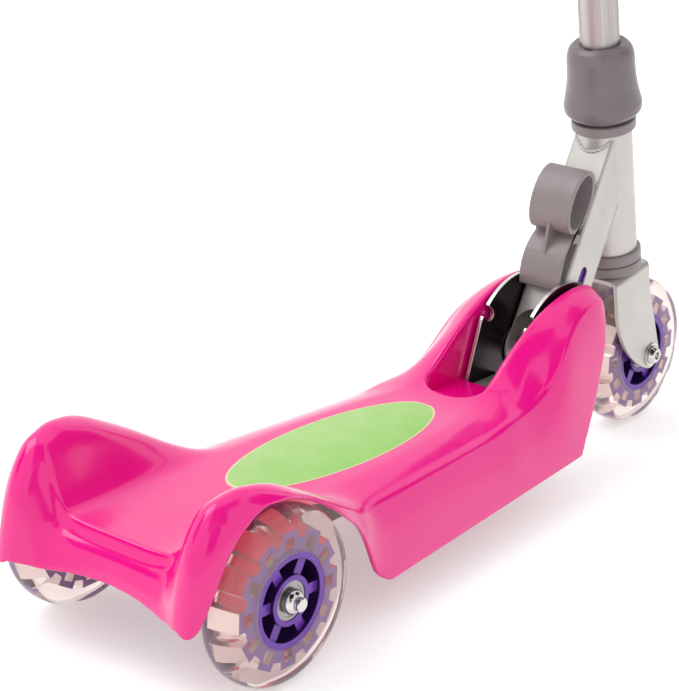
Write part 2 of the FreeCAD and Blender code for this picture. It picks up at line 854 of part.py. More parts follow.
def headset_cup(radius, low, height, spigot_down):
    bore = steerer_radius + running_clearance
    spigot_radius = head_tube_radius - head_tube_wall
    bevel = 0.8
    profile = [
        (bore, 0), (radius - bevel, 0), (radius, bevel), (radius, height - bevel),
        (radius - bevel, height), (spigot_radius, height),
        (spigot_radius, height + cup_spigot), (bore, height + cup_spigot),
    ]
    cup = turned(profile)
    if spigot_down:
        cup.rotate(Vec(0, 0, 0), Vec(1, 0, 0), 180)
        cup.translate(Vec(0, 0, height))
    cup.translate(Vec(0, 0, low))
    return on_column(cup)


# Latch, built in the stem's frame


def lever_band(place, depth_middle, length, depth):
    """An oval loop seen from the side, with its wall on the tube's rear face."""
    ellipse = Part.Ellipse(Vec(0, 0, 0), length / 2, depth / 2)
    face = Part.Face(Part.Wire(ellipse.toShape()))
    half = stem_width / 2
    loop = face.extrude(Vec(0, 0, stem_width))
    loop.translate(Vec(0, 0, -half))
    loop.rotate(Vec(0, 0, 0), Vec(1, 0, 0), -90)
    loop.rotate(Vec(0, 0, 0), Vec(0, 1, 0), -90)
    loop.translate(Vec(-tube_rear - depth_middle, 0, place))
    return loop


def latch_lever():
    half = stem_width / 2
    seat = -tube_rear - lever_gap
    middle = lever_gap + loop_depth / 2
    outer = lever_band(loop_place, middle, loop_length, loop_depth)
    hole = lever_band(loop_place, middle, loop_length - 2 * lever_wall, loop_depth - 2 * lever_wall)
    waist_half = 3.2
    waist_back = seat - waist_depth
    waist = box(waist_back, seat, -half, half, waist_place - waist_half, waist_place + waist_half)
    back_low = seat - arch_end_depth
    arch_middle = (waist_place + arch_end) / 2
    edges = [
        arc((waist_back, waist_place), (seat - arch_middle_depth, arch_middle), (back_low, arch_end)),
        line((back_low, arch_end), (back_low + lever_wall, arch_end)),
        arc((back_low + lever_wall, arch_end), (seat - arch_middle_depth + lever_wall, arch_middle),
            (waist_back + lever_wall, waist_place)),
        line((waist_back + lever_wall, waist_place), (waist_back, waist_place)),
    ]
    arch = side_plate(edges, -half, half)
    rib_half = lever_rib_thickness / 2
    rib = polygon_plate([
        (seat - arch_middle_depth + 1, arch_middle), (seat - loop_depth + 1.2, loop_place - 6),
        (waist_back + 1, waist_place + 6), (waist_back + 1, waist_place),
    ], -rib_half, rib_half)
    neck_back = seat - 1
    neck_front = -tube_rear + stem_wall + slider_clearance
    neck = box(neck_back, neck_front, -neck_width / 2, neck_width / 2,
               waist_place - neck_length / 2, waist_place + neck_length / 2)
    foot = box(seat - 3, seat, -half, half, waist_place - waist_half, loop_place)
    foot = foot.common(fused([outer, waist]))
    lever = fused([outer, waist, arch, rib, neck, foot]).cut(hole)
    return on_stem(lever)


def latch_slider():
    half = stem_width / 2 - stem_wall - slider_clearance
    depth_half = tube_rear - stem_wall - slider_clearance
    block = box(-depth_half, depth_half, -half, half, slider_low, slider_high)
    raised = box(-depth_half, 0, -half, half, slider_high - 1, waist_place + neck_length / 2)
    raised = raised.cut(cylinder(spring_radius + 1.0, slider_high, slider_high + 20))
    pocket = box(-depth_half + 4, depth_half - 4, -half + 3, half - 3,
                 slider_low - 1, lock_pin_place - lock_pin_radius - 2)
    pin_hole = along_y(cylinder(lock_pin_radius, -half - 1, half + 1), 0, 0, lock_pin_place)
    return on_stem(fused([block, raised]).cut([pocket, pin_hole]))


def latch_pin():
    half = stem_width / 2 - 0.3
    pin = cylinder(lock_pin_radius, -half, half)
    return on_stem(along_y(pin, 0, 0, lock_pin_place))


def latch_spring():
    pitch = (spring_length - stop_pin_radius - spring_wire) / spring_turns
    radius = spring_radius - spring_wire / 2
    helix = Part.makeHelix(pitch, pitch * spring_turns, radius)
    start = Part.Wire(Part.makeCircle(spring_wire / 2, Vec(radius, 0, 0), Vec(0, 1, 0)))
    coil = Part.Wire(helix).makePipeShell([start], True, True)
    coil.translate(Vec(0, 0, slider_high + spring_wire / 2))
    return on_stem(coil)


def spring_stop():
    half = stem_width / 2
    return on_stem(along_y(cylinder(stop_pin_radius, -half, half), 0, 0, stop_place()))


# Steering column, built in its own frame


def fork():
    outer_half = fork_inner + fork_thickness
    low = -fork_end_radius - 5
    under = crown_top - fork_thickness
    outer = box(fork_rear - 10, fork_front + 20, -outer_half, outer_half, low, crown_top)
    bends = [e for e in outer.Edges
             if e.BoundBox.XLength > 20 and e.BoundBox.ZMin > crown_top - 0.01]
    outer = outer.makeFillet(fork_bend, bends)
    inner = box(fork_rear - 11, fork_front + 21, -fork_inner, fork_inner, low - 1, under)
    bends = [e for e in inner.Edges if e.BoundBox.XLength > 20 and e.BoundBox.ZMin > under - 0.01]
    inner = inner.makeFillet(fork_bend - fork_thickness, bends)
    channel = outer.cut(inner)
    end = fork_offset
    radius = fork_end_radius
    low_rear = (end - 0.62 * radius, -0.785 * radius)
    rear_middle = (fork_rear + 0.8 * radius, 0.36 * fork_straight_place)
    high_front = (end + 0.965 * radius, 0.26 * radius)
    edges = [
        line((fork_rear, crown_top + 1), (fork_rear, fork_straight_place)),
        arc((fork_rear, fork_straight_place), rear_middle, low_rear),
        arc(low_rear, (end + 0.5 * radius, -0.866 * radius), high_front),
        line(high_front, (fork_front_waist, fork_waist_place)),
        line((fork_front_waist, fork_waist_place), (fork_front, crown_top + 1)),
        line((fork_front, crown_top + 1), (fork_rear, crown_top + 1)),
    ]
    blank = side_plate(edges, -outer_half - 1, outer_half + 1)
    holes = [
        along_y(cylinder(axle_radius, -outer_half - 1, outer_half + 1), fork_offset, 0, 0),
        cylinder(steerer_radius, under - 1, crown_top + 1),
    ]
    return on_column(channel.common(blank).cut(holes))


def steerer():
    low = crown_top - fork_thickness
    high = bell_low + steerer_above_washer
    tube = ring(steerer_radius - steerer_wall, steerer_radius, low, high)
    return on_column(tube.cut(cross_pin_hole()))


def cross_pin_hole():
    length = bell_waist_radius
    return along_y(cylinder(cross_pin_radius, -length, length), 0, 0, bell_low + cross_pin_rise)


def cross_pin():
    half = column_radius + 1.5
    return on_column(along_y(cylinder(cross_pin_radius, -half, half), 0, 0, bell_low + cross_pin_rise))


def lower_race():
    bevel = 0.8
    profile = [
        (steerer_radius, 0), (race_radius - bevel, 0), (race_radius, bevel),
        (race_radius, race_height - bevel), (race_radius - bevel, race_height),
        (steerer_radius, race_height),
    ]
    race = turned(profile)
    race.translate(Vec(0, 0, crown_top))
    return on_column(race)


def dust_washer():
    return on_column(ring(steerer_radius, washer_radius, washer_low, bell_low))


def bell_outline(wall):
    foot = bell_foot_radius - wall
    waist = bell_waist_radius - wall
    top = bell_height - wall
    points = [
        Vec(foot - 2.6, 0, 0), Vec(foot - 0.4, 0, 3.0), Vec(foot, 0, 6.5), Vec(foot - 1.0, 0, 12.0),
        Vec(waist + 1.1, 0, 20.0), Vec(waist + 0.3, 0, 28.0), Vec(waist, 0, top - 9.0),
        Vec(waist - 1.6, 0, top - 3.0), Vec(waist - 4.6, 0, top),
    ]
    curve = Part.BSplineCurve()
    curve.interpolate(points)
    axis_low, axis_high = Vec(0, 0, 0), Vec(0, 0, top)
    edges = [
        curve.toShape(), Part.makeLine(points[-1], axis_high),
        Part.makeLine(axis_high, axis_low), Part.makeLine(axis_low, points[0]),
    ]
    return Part.Face(Part.Wire(edges)).revolve(Vec(0, 0, 0), Vec(0, 0, 1), 360)


def stem_bell():
    inside = bell_outline(bell_wall).common(cylinder(bell_foot_radius, bell_wall, bell_height))
    slot_half = 3.0
    slot_depth = 5.0
    relief = 1.4
    slot = box(-column_radius - relief, 0, -slot_half, slot_half,
               bell_height - slot_depth, bell_height + 1)
    bell = bell_outline(0).cut([inside, cylinder(column_radius, -1, bell_height + 1), slot])
    bell.translate(Vec(0, 0, bell_low))
    return on_column(bell)


def column_tube():
    high = bar_place
    tube = cylinder(column_radius, bell_low, high)
    bore = cylinder(column_radius - column_wall, bell_low - 1, high - 12)
    bar = along_y(cylinder(handlebar_radius, -30, 30), 0, 0, bar_place)
    return on_column(tube.cut([bore, bar, cross_pin_hole()]))


def handlebar():
    half = handlebar_length / 2
    bar = ring(handlebar_radius - handlebar_wall, handlebar_radius, -half, half)
    return on_column(along_y(bar, 0, 0, bar_place))


def both_sides(shape):
    left = on_column(along_y(shape, 0, 0, bar_place))
    return left, left.mirror(Vec(0, 0, 0), Vec(0, 1, 0))


def grip():
    half = handlebar_length / 2
    inner_end = half - grip_length
    soft = 1.2
    profile = [
        (handlebar_radius, inner_end), (grip_flange_radius - soft, inner_end),
        (grip_flange_radius, inner_end + soft),
        (grip_flange_radius, inner_end + grip_flange_width - soft),
        (grip_flange_radius - soft, inner_end + grip_flange_width),
        (grip_radius, inner_end + grip_flange_width), (grip_radius, half), (handlebar_radius, half),
    ]
    return turned(profile)


def bar_end():
    half = handlebar_length / 2
    plug = handlebar_radius - handlebar_wall
    soft = 3.0
    profile = [
        (0, half - bar_plug_length), (plug, half - bar_plug_length), (plug, half),
        (bar_end_radius, half), (bar_end_radius, half + bar_end_height - soft),
        (bar_end_radius - soft, half + bar_end_height), (0, half + bar_end_height),
    ]
    return turned(profile)


# Front axle, built about the Z axis with +Z to the left


def place_front(shape):
    return on_column(along_y(shape, fork_offset, 0, 0))


def front_bolt():
    seat = fork_inner + fork_thickness + front_washer_height
    end = seat + front_nut_height + 1.5
    shank = cylinder(axle_radius, -seat - 0.5, end)
    head = turned([
        (0, 0), (front_head_radius, 0), (front_head_radius, -1.2),
        (front_head_radius * 0.72, -front_head_height), (0, -front_head_height),
    ])
    head.translate(Vec(0, 0, -seat))
    socket = hexagon(front_socket_radius, -seat - front_head_height - 1,
                     -seat - front_head_height + front_socket_depth)
    return place_front(fused([shank, head]).cut(socket))


def front_nut():
    seat = fork_inner + fork_thickness + front_washer_height
    nut = hexagon(front_nut_radius, seat, seat + front_nut_height)
    return place_front(nut.cut(cylinder(axle_radius, seat - 1, seat + front_nut_height + 1)))


def front_pair(outer, low, high):
    left = ring(axle_radius, outer, low, high)
    right = left.mirror(Vec(0, 0, 0), Vec(0, 0, 1))
    return Part.makeCompound([place_front(left), place_front(right)])


def front_washers():
    seat = fork_inner + fork_thickness
    return front_pair(front_washer_radius, seat, seat + front_washer_height)


def front_spacers():
    return front_pair(axle_tube_radius, bearing_outer_face + end_gap, fork_inner)


def wheel_nodes(name, x, y):
    core = wheel_core()
    parts = {
        "core": core,
        "tyre": wheel_tyre(core),
        "bearings": wheel_bearings(),
        "spacer": wheel_spacer(),
    }
    return {name + "_" + kind: along_y(shape, x, y, wheel_radius) for kind, shape in parts.items()}


def all_nodes():
    left_grip, right_grip = both_sides(grip())
    left_end, right_end = both_sides(bar_end())
    nodes = {
        "main_rail": main_rail(),
        "rail_end_cap": rail_end_cap(),
        "hinge_plate_left": hinge_plate(1),
        "hinge_plate_right": hinge_plate(-1),
        "pivot_bolt": pivot_bolt(),
        "pivot_nut": pivot_nut(),
        "rear_axle": rear_axle(),
        "axle_push_nuts": push_nuts(),
        "axle_tube": axle_tube(),
        "deck_screws": deck_screws(),
        "deck_label": deck_label(),
        "deck_shell": deck_shell(),
        "stem_tube": stem_tube(),
        "pivot_bush": pivot_bush(),
        "head_tube": head_tube(),
        "lower_cup": headset_cup(race_radius, cup_low, cup_height, False),
        "upper_cup": headset_cup(upper_cup_radius, head_top, upper_cup_height, True),
        "spring_stop": spring_stop(),
        "latch_lever": latch_lever(),
        "latch_slider": latch_slider(),
        "latch_pin": latch_pin(),
        "latch_spring": latch_spring(),
        "fork": fork(),
        "steerer": steerer(),
        "cross_pin": cross_pin(),
        "lower_race": lower_race(),
        "dust_washer": dust_washer(),
        "stem_bell": stem_bell(),
        "column_tube": column_tube(),
        "handlebar": handlebar(),
        "grip_left": left_grip,
        "grip_right": right_grip,
        "bar_ends": Part.makeCompound([left_end, right_end]),
        "front_bolt": front_bolt(),
        "front_nut": front_nut(),
        "front_washers": front_washers(),
        "front_spacers": front_spacers(),
    }
    nodes.update(wheel_nodes("front_wheel", front_x, 0))
    nodes.update(wheel_nodes("rear_wheel_left", rear_x, rear_track / 2))
    nodes.update(wheel_nodes("rear_wheel_right", rear_x, -rear_track / 2))
    return nodes


def main():
    os.makedirs("parts", exist_ok=True)
    for name, shape in all_nodes().items():
        volume = round(shape.Volume / 1000, 2)
        print(f"{name}: {len(shape.Solids)} solid(s), valid {shape.isValid()}, {volume} cm3")
        shape.exportStep("parts/" + name + ".step")


main()
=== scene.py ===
import json
import math
from functools import partial
import bmesh
import bpy
import numpy as np
from mathutils import Matrix, Vector

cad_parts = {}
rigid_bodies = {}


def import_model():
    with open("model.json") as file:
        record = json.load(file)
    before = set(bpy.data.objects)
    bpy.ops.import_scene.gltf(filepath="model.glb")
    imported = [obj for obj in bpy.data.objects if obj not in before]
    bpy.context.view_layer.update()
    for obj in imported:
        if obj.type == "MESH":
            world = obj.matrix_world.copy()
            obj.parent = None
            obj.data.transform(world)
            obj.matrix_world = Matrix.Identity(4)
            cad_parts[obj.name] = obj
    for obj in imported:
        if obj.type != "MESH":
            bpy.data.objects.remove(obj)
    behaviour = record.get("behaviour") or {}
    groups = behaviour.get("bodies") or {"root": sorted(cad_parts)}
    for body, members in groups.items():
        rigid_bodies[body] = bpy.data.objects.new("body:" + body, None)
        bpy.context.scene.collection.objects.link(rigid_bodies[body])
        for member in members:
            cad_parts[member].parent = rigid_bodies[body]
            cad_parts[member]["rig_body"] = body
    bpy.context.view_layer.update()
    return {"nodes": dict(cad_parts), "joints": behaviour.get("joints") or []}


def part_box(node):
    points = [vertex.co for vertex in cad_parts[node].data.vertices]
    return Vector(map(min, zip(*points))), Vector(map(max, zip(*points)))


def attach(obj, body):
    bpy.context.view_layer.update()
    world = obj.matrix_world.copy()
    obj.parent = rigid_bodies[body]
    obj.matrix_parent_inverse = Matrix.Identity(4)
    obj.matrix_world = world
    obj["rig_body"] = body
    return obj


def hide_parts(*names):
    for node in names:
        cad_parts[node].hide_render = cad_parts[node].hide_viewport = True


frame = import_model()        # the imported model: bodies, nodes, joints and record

print("scooter: frame loaded")

# Shapes are worked out in millimetres, in the frame's axes, and turned to metres as they enter a mesh.

joints = {joint["name"]: joint for joint in frame["joints"]}


def jointPlace(name):
    return np.array(joints[name].get("pos_m", (0, 0, 0)), float) * 1000


foldPivot = jointPlace("fold")
rearWheel = jointPlace("rear_left_spin")
steerFoot = jointPlace("steer")
steerAxis = np.array(joints["steer"]["axis"], float)
stemAxis = np.array(joints["latch_lift"]["axis"], float)
rearX, wheelRadius = rearWheel[0], rearWheel[2]


def leaning(axis, origin):
    # a frame whose z runs along an axis in the X-Z plane and whose y is the scooter's own
    matrix = np.eye(4)
    matrix[:3, 2] = axis / np.linalg.norm(axis)
    matrix[:3, 1] = (0, 1, 0)
    matrix[:3, 0] = np.cross(matrix[:3, 1], matrix[:3, 2])
    matrix[:3, 3] = origin
    return matrix


onStem = leaning(stemAxis, foldPivot)
onColumn = leaning(steerAxis, steerFoot)


def alongY(x, y, z):
    # a frame whose z runs along the scooter's +Y
    matrix = np.eye(4)
    matrix[:3, :3] = np.array([(1, 0, 0), (0, 0, 1), (0, -1, 0)], float)
    matrix[:3, 3] = (x, y, z)
    return matrix


def placed(points, matrix):
    return points @ matrix[:3, :3].T + matrix[:3, 3]


def boxCorners(node):
    # the lowest and highest corner of a CAD node
    return np.array(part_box(node)) * 1000


def meshPoints(mesh):
    places = np.zeros(len(mesh.vertices) * 3)
    mesh.vertices.foreach_get("co", places)
    return places.reshape(-1, 3) * 1000


def markPoints(mesh, name, amounts):
    # one number for each vertex, for a material to read
    mesh.attributes.new(name, "FLOAT", "POINT").data.foreach_set("value", amounts.astype(np.float32))


# Grids and meshes

def gridFaces(rows, columns, closeRows=False, closeColumns=False):
    # quads of a grid whose points run row by row
    i = np.arange(rows if closeRows else rows - 1)[:, None]
    j = np.arange(columns if closeColumns else columns - 1)[None, :]
    below, right = (i + 1) % rows, (j + 1) % columns
    quads = np.stack([i * columns + j, i * columns + right, below * columns + right, below * columns + j], -1)
    return quads.reshape(-1, 4)


def roundedPath(corners, steps=5):
    # a path of (a, b, radius) corners, where each radius becomes an arc drawn as a quadratic curve
    points = np.array([corner[:2] for corner in corners], float)
    path = [points[:1]]
    t = np.linspace(0, 1, steps + 1)[:, None]
    for k in range(1, len(corners) - 1):
        radius = corners[k][2]
        if radius == 0:
            path.append(points[k:k + 1])
            continue
        back, ahead = points[k - 1] - points[k], points[k + 1] - points[k]
        backLength, aheadLength = np.linalg.norm(back), np.linalg.norm(ahead)
        back, ahead = back / backLength, ahead / aheadLength
        halfTurn = math.acos(max(-1.0, min(1.0, float(back @ ahead)))) / 2
        reach = min(radius / math.tan(halfTurn), 0.49 * backLength, 0.49 * aheadLength)
        start, end = points[k] + back * reach, points[k] + ahead * reach
        path.append((1 - t) ** 2 * start + 2 * t * (1 - t) * points[k] + t ** 2 * end)
    path.append(points[-1:])
    return np.concatenate(path)


def turnedSurface(profile, around=96):
    # the profile's radius and height carried round the z axis
    angle = np.linspace(0, 2 * math.pi, around, endpoint=False)
    radius, height = profile[:, :1], profile[:, 1:2]
    points = np.stack([radius * np.cos(angle), radius * np.sin(angle), height + 0 * angle], -1)
    return points.reshape(-1, 3), gridFaces(len(profile), around, closeColumns=True)


def makeMesh(name, points, faces):
    # points in millimetres, faces as a list or an array of their corners
    mesh = bpy.data.meshes.new(name)
    mesh.from_pydata((np.asarray(points) / 1000).tolist(), [], faces if isinstance(faces, list) else faces.tolist())
    return mesh


def finished(mesh, closed=True, sharpDegrees=40.0, weld=0.000004):
    # doubles merged, slivers gone, outside faces outwards, edges sharper than the angle kept sharp
    work = bmesh.new()
    work.from_mesh(mesh)
    bmesh.ops.remove_doubles(work, verts=work.verts, dist=weld)
    bmesh.ops.dissolve_degenerate(work, edges=work.edges, dist=weld / 4)
    if closed:
        bmesh.ops.recalc_face_normals(work, faces=work.faces)
    work.to_mesh(mesh)
    work.free()
    mesh.shade_smooth()
    mesh.set_sharp_from_angle(angle=math.radians(sharpDegrees))
    mesh.update()
    return mesh


def facingUp(mesh):
    # an open sheet, turned over when most of its faces look down
    if sum(polygon.normal.z for polygon in mesh.polygons) < 0:
        mesh.flip_normals()
    return mesh


def linked(name, data):
    # a new object in the scene
    thing = bpy.data.objects.new(name, data)
    bpy.context.scene.collection.objects.link(thing)
    return thing


def addPiece(mesh, body, material, nodes=()):
    # a finished mesh shown on a body, in a material slot, in place of the CAD nodes named
    piece = linked(mesh.name, mesh)
    mesh.materials.clear()
    mesh.materials.append(material)
    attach(piece, body)
    if nodes:
        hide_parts(*nodes)
    return piece


softenValues = {"segments": 2, "sharp": 32.0, "flat": 0.4}     # an edge's steps; angles in degrees


def addBevel(piece, width):
    # edges over the sharp angle rounded to a width in millimetres, with the faces beside them shaded flat
    bevel = piece.modifiers.new("roundedEdges", "BEVEL")
    bevel.width = width / 1000
    bevel.segments = softenValues["segments"]
    bevel.limit_method = "ANGLE"
    bevel.angle_limit = math.radians(softenValues["sharp"])
    bevel.use_clamp_overlap = False
    weighted = piece.modifiers.new("evenNormals", "WEIGHTED_NORMAL")
    weighted.keep_sharp = True
    return piece


def softened(pieceName, node, material, width):
    # a merged copy of a CAD node, its flat faces whole again and its sharp edges rounded
    source = frame["nodes"][node]
    mesh = source.data.copy()
    mesh.name = pieceName
    work = bmesh.new()
    work.from_mesh(mesh)
    bmesh.ops.remove_doubles(work, verts=work.verts, dist=0.000002)
    bmesh.ops.dissolve_limit(work, angle_limit=math.radians(softenValues["flat"]), verts=work.verts, edges=work.edges)
    work.to_mesh(mesh)
    work.free()
    if "custom_normal" in mesh.attributes:
        mesh.attributes.remove(mesh.attributes["custom_normal"])
    mesh.shade_smooth()
    piece = addPiece(mesh, source["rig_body"], material, [node])
    return addBevel(piece, width)


# Materials

def linear(hexCode):
    # an sRGB hex colour turned to linear light
    channels = np.array([int(hexCode[i:i + 2], 16) for i in (0, 2, 4)]) / 255
    light = np.where(channels <= 0.04045, channels / 12.92, ((channels + 0.055) / 1.055) ** 2.4)
    return (*light.tolist(), 1.0)


def emptied(block):
    # a material or world with no nodes, and the call that adds them to it
    block.use_nodes = True
    block.node_tree.nodes.clear()
    return block, partial(addNode, block.node_tree)


def newMaterial(name):
    # kept apart so that each finish below reads as its nodes alone
    return emptied(bpy.data.materials.new(name))


def addNode(tree, kind, settings=None, links=None):
    # settings in small letters are the node's own, others and numbers are its sockets; links are (node, output)
    node = tree.nodes.new("ShaderNode" + kind)
    for key, value in (settings or {}).items():
        if isinstance(key, int) or key[0].isupper():
            node.inputs[key].default_value = value
        else:
            setattr(node, key, value)
    for key, (source, output) in (links or {}).items():
        tree.links.new(source.outputs[output], node.inputs[key])
    return node


def perMillimetre(size):
    return 1000.0 / size     # a noise scale, in metres, whose lumps are about size mm across


def surfaced(material, add, settings, links, relief=None):
    # closes a material: its shader, a bump from (strength, depth in mm, height) where it has one, and the output
    if relief:
        strength, depth, height = relief
        bump = add("Bump", {"Strength": strength, "Distance": depth / 1000}, {"Height": height})
        links = {**links, "Normal": (bump, "Normal")}
    shader = add("BsdfPrincipled", settings, links)
    add("OutputMaterial", {}, {"Surface": (shader, "BSDF")})
    return material


def facingSideways(add, place):
    # how far a surface faces the scooter's left or right, from 0 to 1
    facing = add("SeparateXYZ", {}, {"Vector": (place, "Normal")})
    return add("Math", {"operation": "ABSOLUTE"}, {0: (facing, "Y")})


def seenOrMirrored(add):
    # one for rays from the eye, from mirrors and through glass, and none for the light on matt surfaces
    ray = add("LightPath")
    either = add("Math", {"operation": "MAXIMUM"}, {0: (ray, "Is Camera Ray"), 1: (ray, "Is Glossy Ray")})
    return add("Math", {"operation": "MAXIMUM"}, {0: (either, "Value"), 1: (ray, "Is Transmission Ray")})


def solidFinish(name, values):
    # a base colour that drifts a little, roughness that varies over a coarse noise, and a fine grain
    material, add = newMaterial(name)
    place = add("TexCoord")
    drift = add("TexNoise", {"Scale": perMillimetre(values["driftMm"]), "Detail": 3.0},
                {"Vector": (place, "Object")})
    grain = add("TexNoise", {"Scale": perMillimetre(values["grainMm"]), "Detail": 2.0},
                {"Vector": (place, "Object")})
    colour = add("Mix", {"data_type": "RGBA", 6: linear(values["colour"]),
                         7: linear(values["shade"])}, {0: (drift, "Fac")})
    low, high = values["roughness"]
    rough = add("MapRange", {"To Min": low, "To Max": high, "From Min": 0.3, "From Max": 0.7},
                {"Value": (drift, "Fac")})
    links = {"Base Color": (colour, 2), "Roughness": (rough, "Result")}
    # painted glow: an emission on the inner skin, hidden from the rays that light matt surfaces, stands in for light
    # passing through the wall
    if "innerGlow" in values:
        inside = add("Attribute", {"attribute_name": "innerSkin"})
        ray = add("LightPath")
        shown = add("MapRange", {"To Min": values["innerGlow"], "To Max": 0.0}, {"Value": (ray, "Is Diffuse Ray")})
        glow = add("Math", {"operation": "MULTIPLY"}, {0: (shown, "Result"), 1: (inside, "Fac")})
        links["Emission Strength"] = (glow, "Value")
    return surfaced(material, add, {"Metallic": values.get("metallic", 0.0), **values.get("shader", {})}, links,
                    (values["bump"], values["grainMm"], (grain, "Fac")))


# Polypropylene, injection moulded in a polished tool: deep pink in the body, a clear mirror-like skin over it, and on
# the inner skin a painted crimson glow, an emission that stands in for the light soaking through the thin wall
pinkPlastic = solidFinish("mouldedPinkPolypropylene", {
    "colour": "F00489", "shade": "E90383", "driftMm": 60.0, "grainMm": 1.6, "bump": 0.012,
    "roughness": (0.15, 0.22), "shader": {"IOR": 1.5, "Coat Weight": 0.35, "Coat Roughness": 0.06,
                                          "Emission Color": linear("D8002E")},
    "innerGlow": 0.5})

# Nylon, moulded with a fine spark-eroded grain: warm grey with a soft broad shine
greyNylon = solidFinish("mouldedGreyNylon", {
    "colour": "908586", "shade": "867B7C", "driftMm": 18.0, "grainMm": 0.35, "bump": 0.07,
    "roughness": (0.34, 0.44), "shader": {"IOR": 1.53}})

# Soft-touch PVC over the clamp: a darker warm grey, duller than the nylon
bellVinyl = solidFinish("mouldedGreyVinyl", {
    "colour": "7A7075", "shade": "71676C", "driftMm": 15.0, "grainMm": 0.4, "bump": 0.04,
    "roughness": (0.27, 0.36), "shader": {"IOR": 1.52}})

# Nylon hub, moulded: saturated violet with a smooth gloss
purpleNylon = solidFinish("mouldedPurpleNylon", {
    "colour": "6A2AA5", "shade": "5F2498", "driftMm": 14.0, "grainMm": 0.5, "bump": 0.06,
    "roughness": (0.26, 0.34), "shader": {"IOR": 1.53}})

# Steel tube, powder coated in silver: small flakes give a soft sheen with a metal's depth
silverCoat = solidFinish("powderCoatedSilver", {
    "colour": "CBC7C3", "shade": "C1BDB9", "driftMm": 30.0, "grainMm": 0.45, "bump": 0.10,
    "roughness": (0.36, 0.43), "metallic": 0.65})

# Steel box tube under the deck, sprayed grey: duller than the stem
railCoat = solidFinish("sprayedGreyEnamel", {
    "colour": "9B9894", "shade": "8E8B88", "driftMm": 22.0, "grainMm": 0.6, "bump": 0.16,
    "roughness": (0.40, 0.52), "metallic": 0.35})

# Steel fasteners, nickel plated: mirror bright with a trace of wear in the gloss
brightPlate = solidFinish("nickelPlatedSteel", {
    "colour": "DAD8D4", "shade": "C9C6C2", "driftMm": 3.0, "grainMm": 0.6, "bump": 0.04,
    "roughness": (0.10, 0.20), "metallic": 1.0})

# Turned steel inside the hinges and hubs: plain bare metal with a dull lathe finish
turnedSteel = solidFinish("turnedSteel", {
    "colour": "A9A7A4", "shade": "979592", "driftMm": 4.0, "grainMm": 0.4, "bump": 0.10,
    "roughness": (0.28, 0.38), "metallic": 1.0})

# Thermoplastic rubber grips, moulded: soft pink with almost no shine
gripRubber = solidFinish("mouldedPinkRubber", {
    "colour": "D81B72", "shade": "CC176A", "driftMm": 12.0, "grainMm": 0.5, "bump": 0.20,
    "roughness": (0.55, 0.66), "shader": {"IOR": 1.5}})

# Polyethylene end plug, moulded: near black and waxy
blackPlug = solidFinish("mouldedBlackPolyethylene", {
    "colour": "1C1B1D", "shade": "232224", "driftMm": 9.0, "grainMm": 0.5, "bump": 0.15,
    "roughness": (0.42, 0.52), "shader": {"IOR": 1.51}})


def clearPolyurethane(values):
    # Polyurethane, cast clear over the hub: bends what lies behind it, with a faint warm tint and a polished skin
    material, add = newMaterial("castClearPolyurethane")
    place = add("TexCoord")
    flow = add("TexNoise", {"Scale": perMillimetre(values["flowMm"]), "Detail": 2.0}, {"Vector": (place, "Object")})
    low, high = values["roughness"]
    rough = add("MapRange", {"To Min": low, "To Max": high}, {"Value": (flow, "Fac")})
    tint = add("Mix", {"data_type": "RGBA", 6: linear(values["colour"]),
                       7: linear(values["shade"])}, {0: (flow, "Fac")})
    return surfaced(material, add, values["shader"], {"Base Color": (tint, 2), "Roughness": (rough, "Result")},
                    (*values["ripple"], (flow, "Fac")))


def hubNylon(values):
    # The hub's nylon: violet by the axle, lavender on the toothed ring; the ring's flanks, wetted by the cast
    # resin, shine like wet glass and take their colour from the fender above and the ground below
    material, add = newMaterial("mouldedPurpleHub")
    place = add("TexCoord")
    radius = add("Attribute", {"attribute_name": "hubRadius"})
    drift = add("TexNoise", {"Scale": perMillimetre(values["driftMm"]), "Detail": 3.0},
                {"Vector": (place, "Object")})
    around = add("MapRange", {"From Min": 0.75, "From Max": 0.45}, {"Value": (facingSideways(add, place), "Value")})
    ringFrom, ringTo = values["ringRadius"]
    ring = add("MapRange", {"From Min": ringFrom, "From Max": ringTo}, {"Value": (radius, "Fac")})
    wet = add("Math", {"operation": "MULTIPLY"}, {0: (around, "Result"), 1: (ring, "Result")})
    colour = add("Mix", {"data_type": "RGBA", 6: linear(values["middle"]),
                         7: linear(values["ring"])}, {0: (ring, "Result")})
    cloudy = add("Mix", {"data_type": "RGBA", "blend_type": "MULTIPLY", 0: 0.12},
                 {6: (colour, 2), 7: (drift, "Color")})
    # painted shade: faces that turn away from the hub's sides, the walls of its pockets inside the ring, are darkened
    # towards a near-black violet
    innerFrom, innerTo = values["recessRadius"]
    inner = add("MapRange", {"From Min": innerFrom, "From Max": innerTo}, {"Value": (radius, "Fac")})
    recess = add("Math", {"operation": "MULTIPLY"}, {0: (around, "Result"), 1: (inner, "Result")})
    deep = add("Mix", {"data_type": "RGBA", 7: linear(values["recess"])}, {0: (recess, "Value"), 6: (cloudy, 2)})
    glassy = add("Mix", {"data_type": "RGBA", 7: linear(values["wet"])}, {0: (wet, "Value"), 6: (deep, 2)})
    mirror = add("Math", {"operation": "MULTIPLY", 1: values["wetMirror"]}, {0: (wet, "Value")})
    low, high = values["roughness"]
    rough = add("MapRange", {"To Min": low, "To Max": high}, {"Value": (drift, "Fac")})
    smooth = add("Math", {"operation": "MULTIPLY_ADD", 1: -values["wetPolish"]},
                 {0: (wet, "Value"), 2: (rough, "Result")})
    return surfaced(material, add, values["shader"],
                    {"Base Color": (glassy, 2), "Metallic": (mirror, "Value"), "Roughness": (smooth, "Value")},
                    (*values["grain"], (drift, "Fac")))


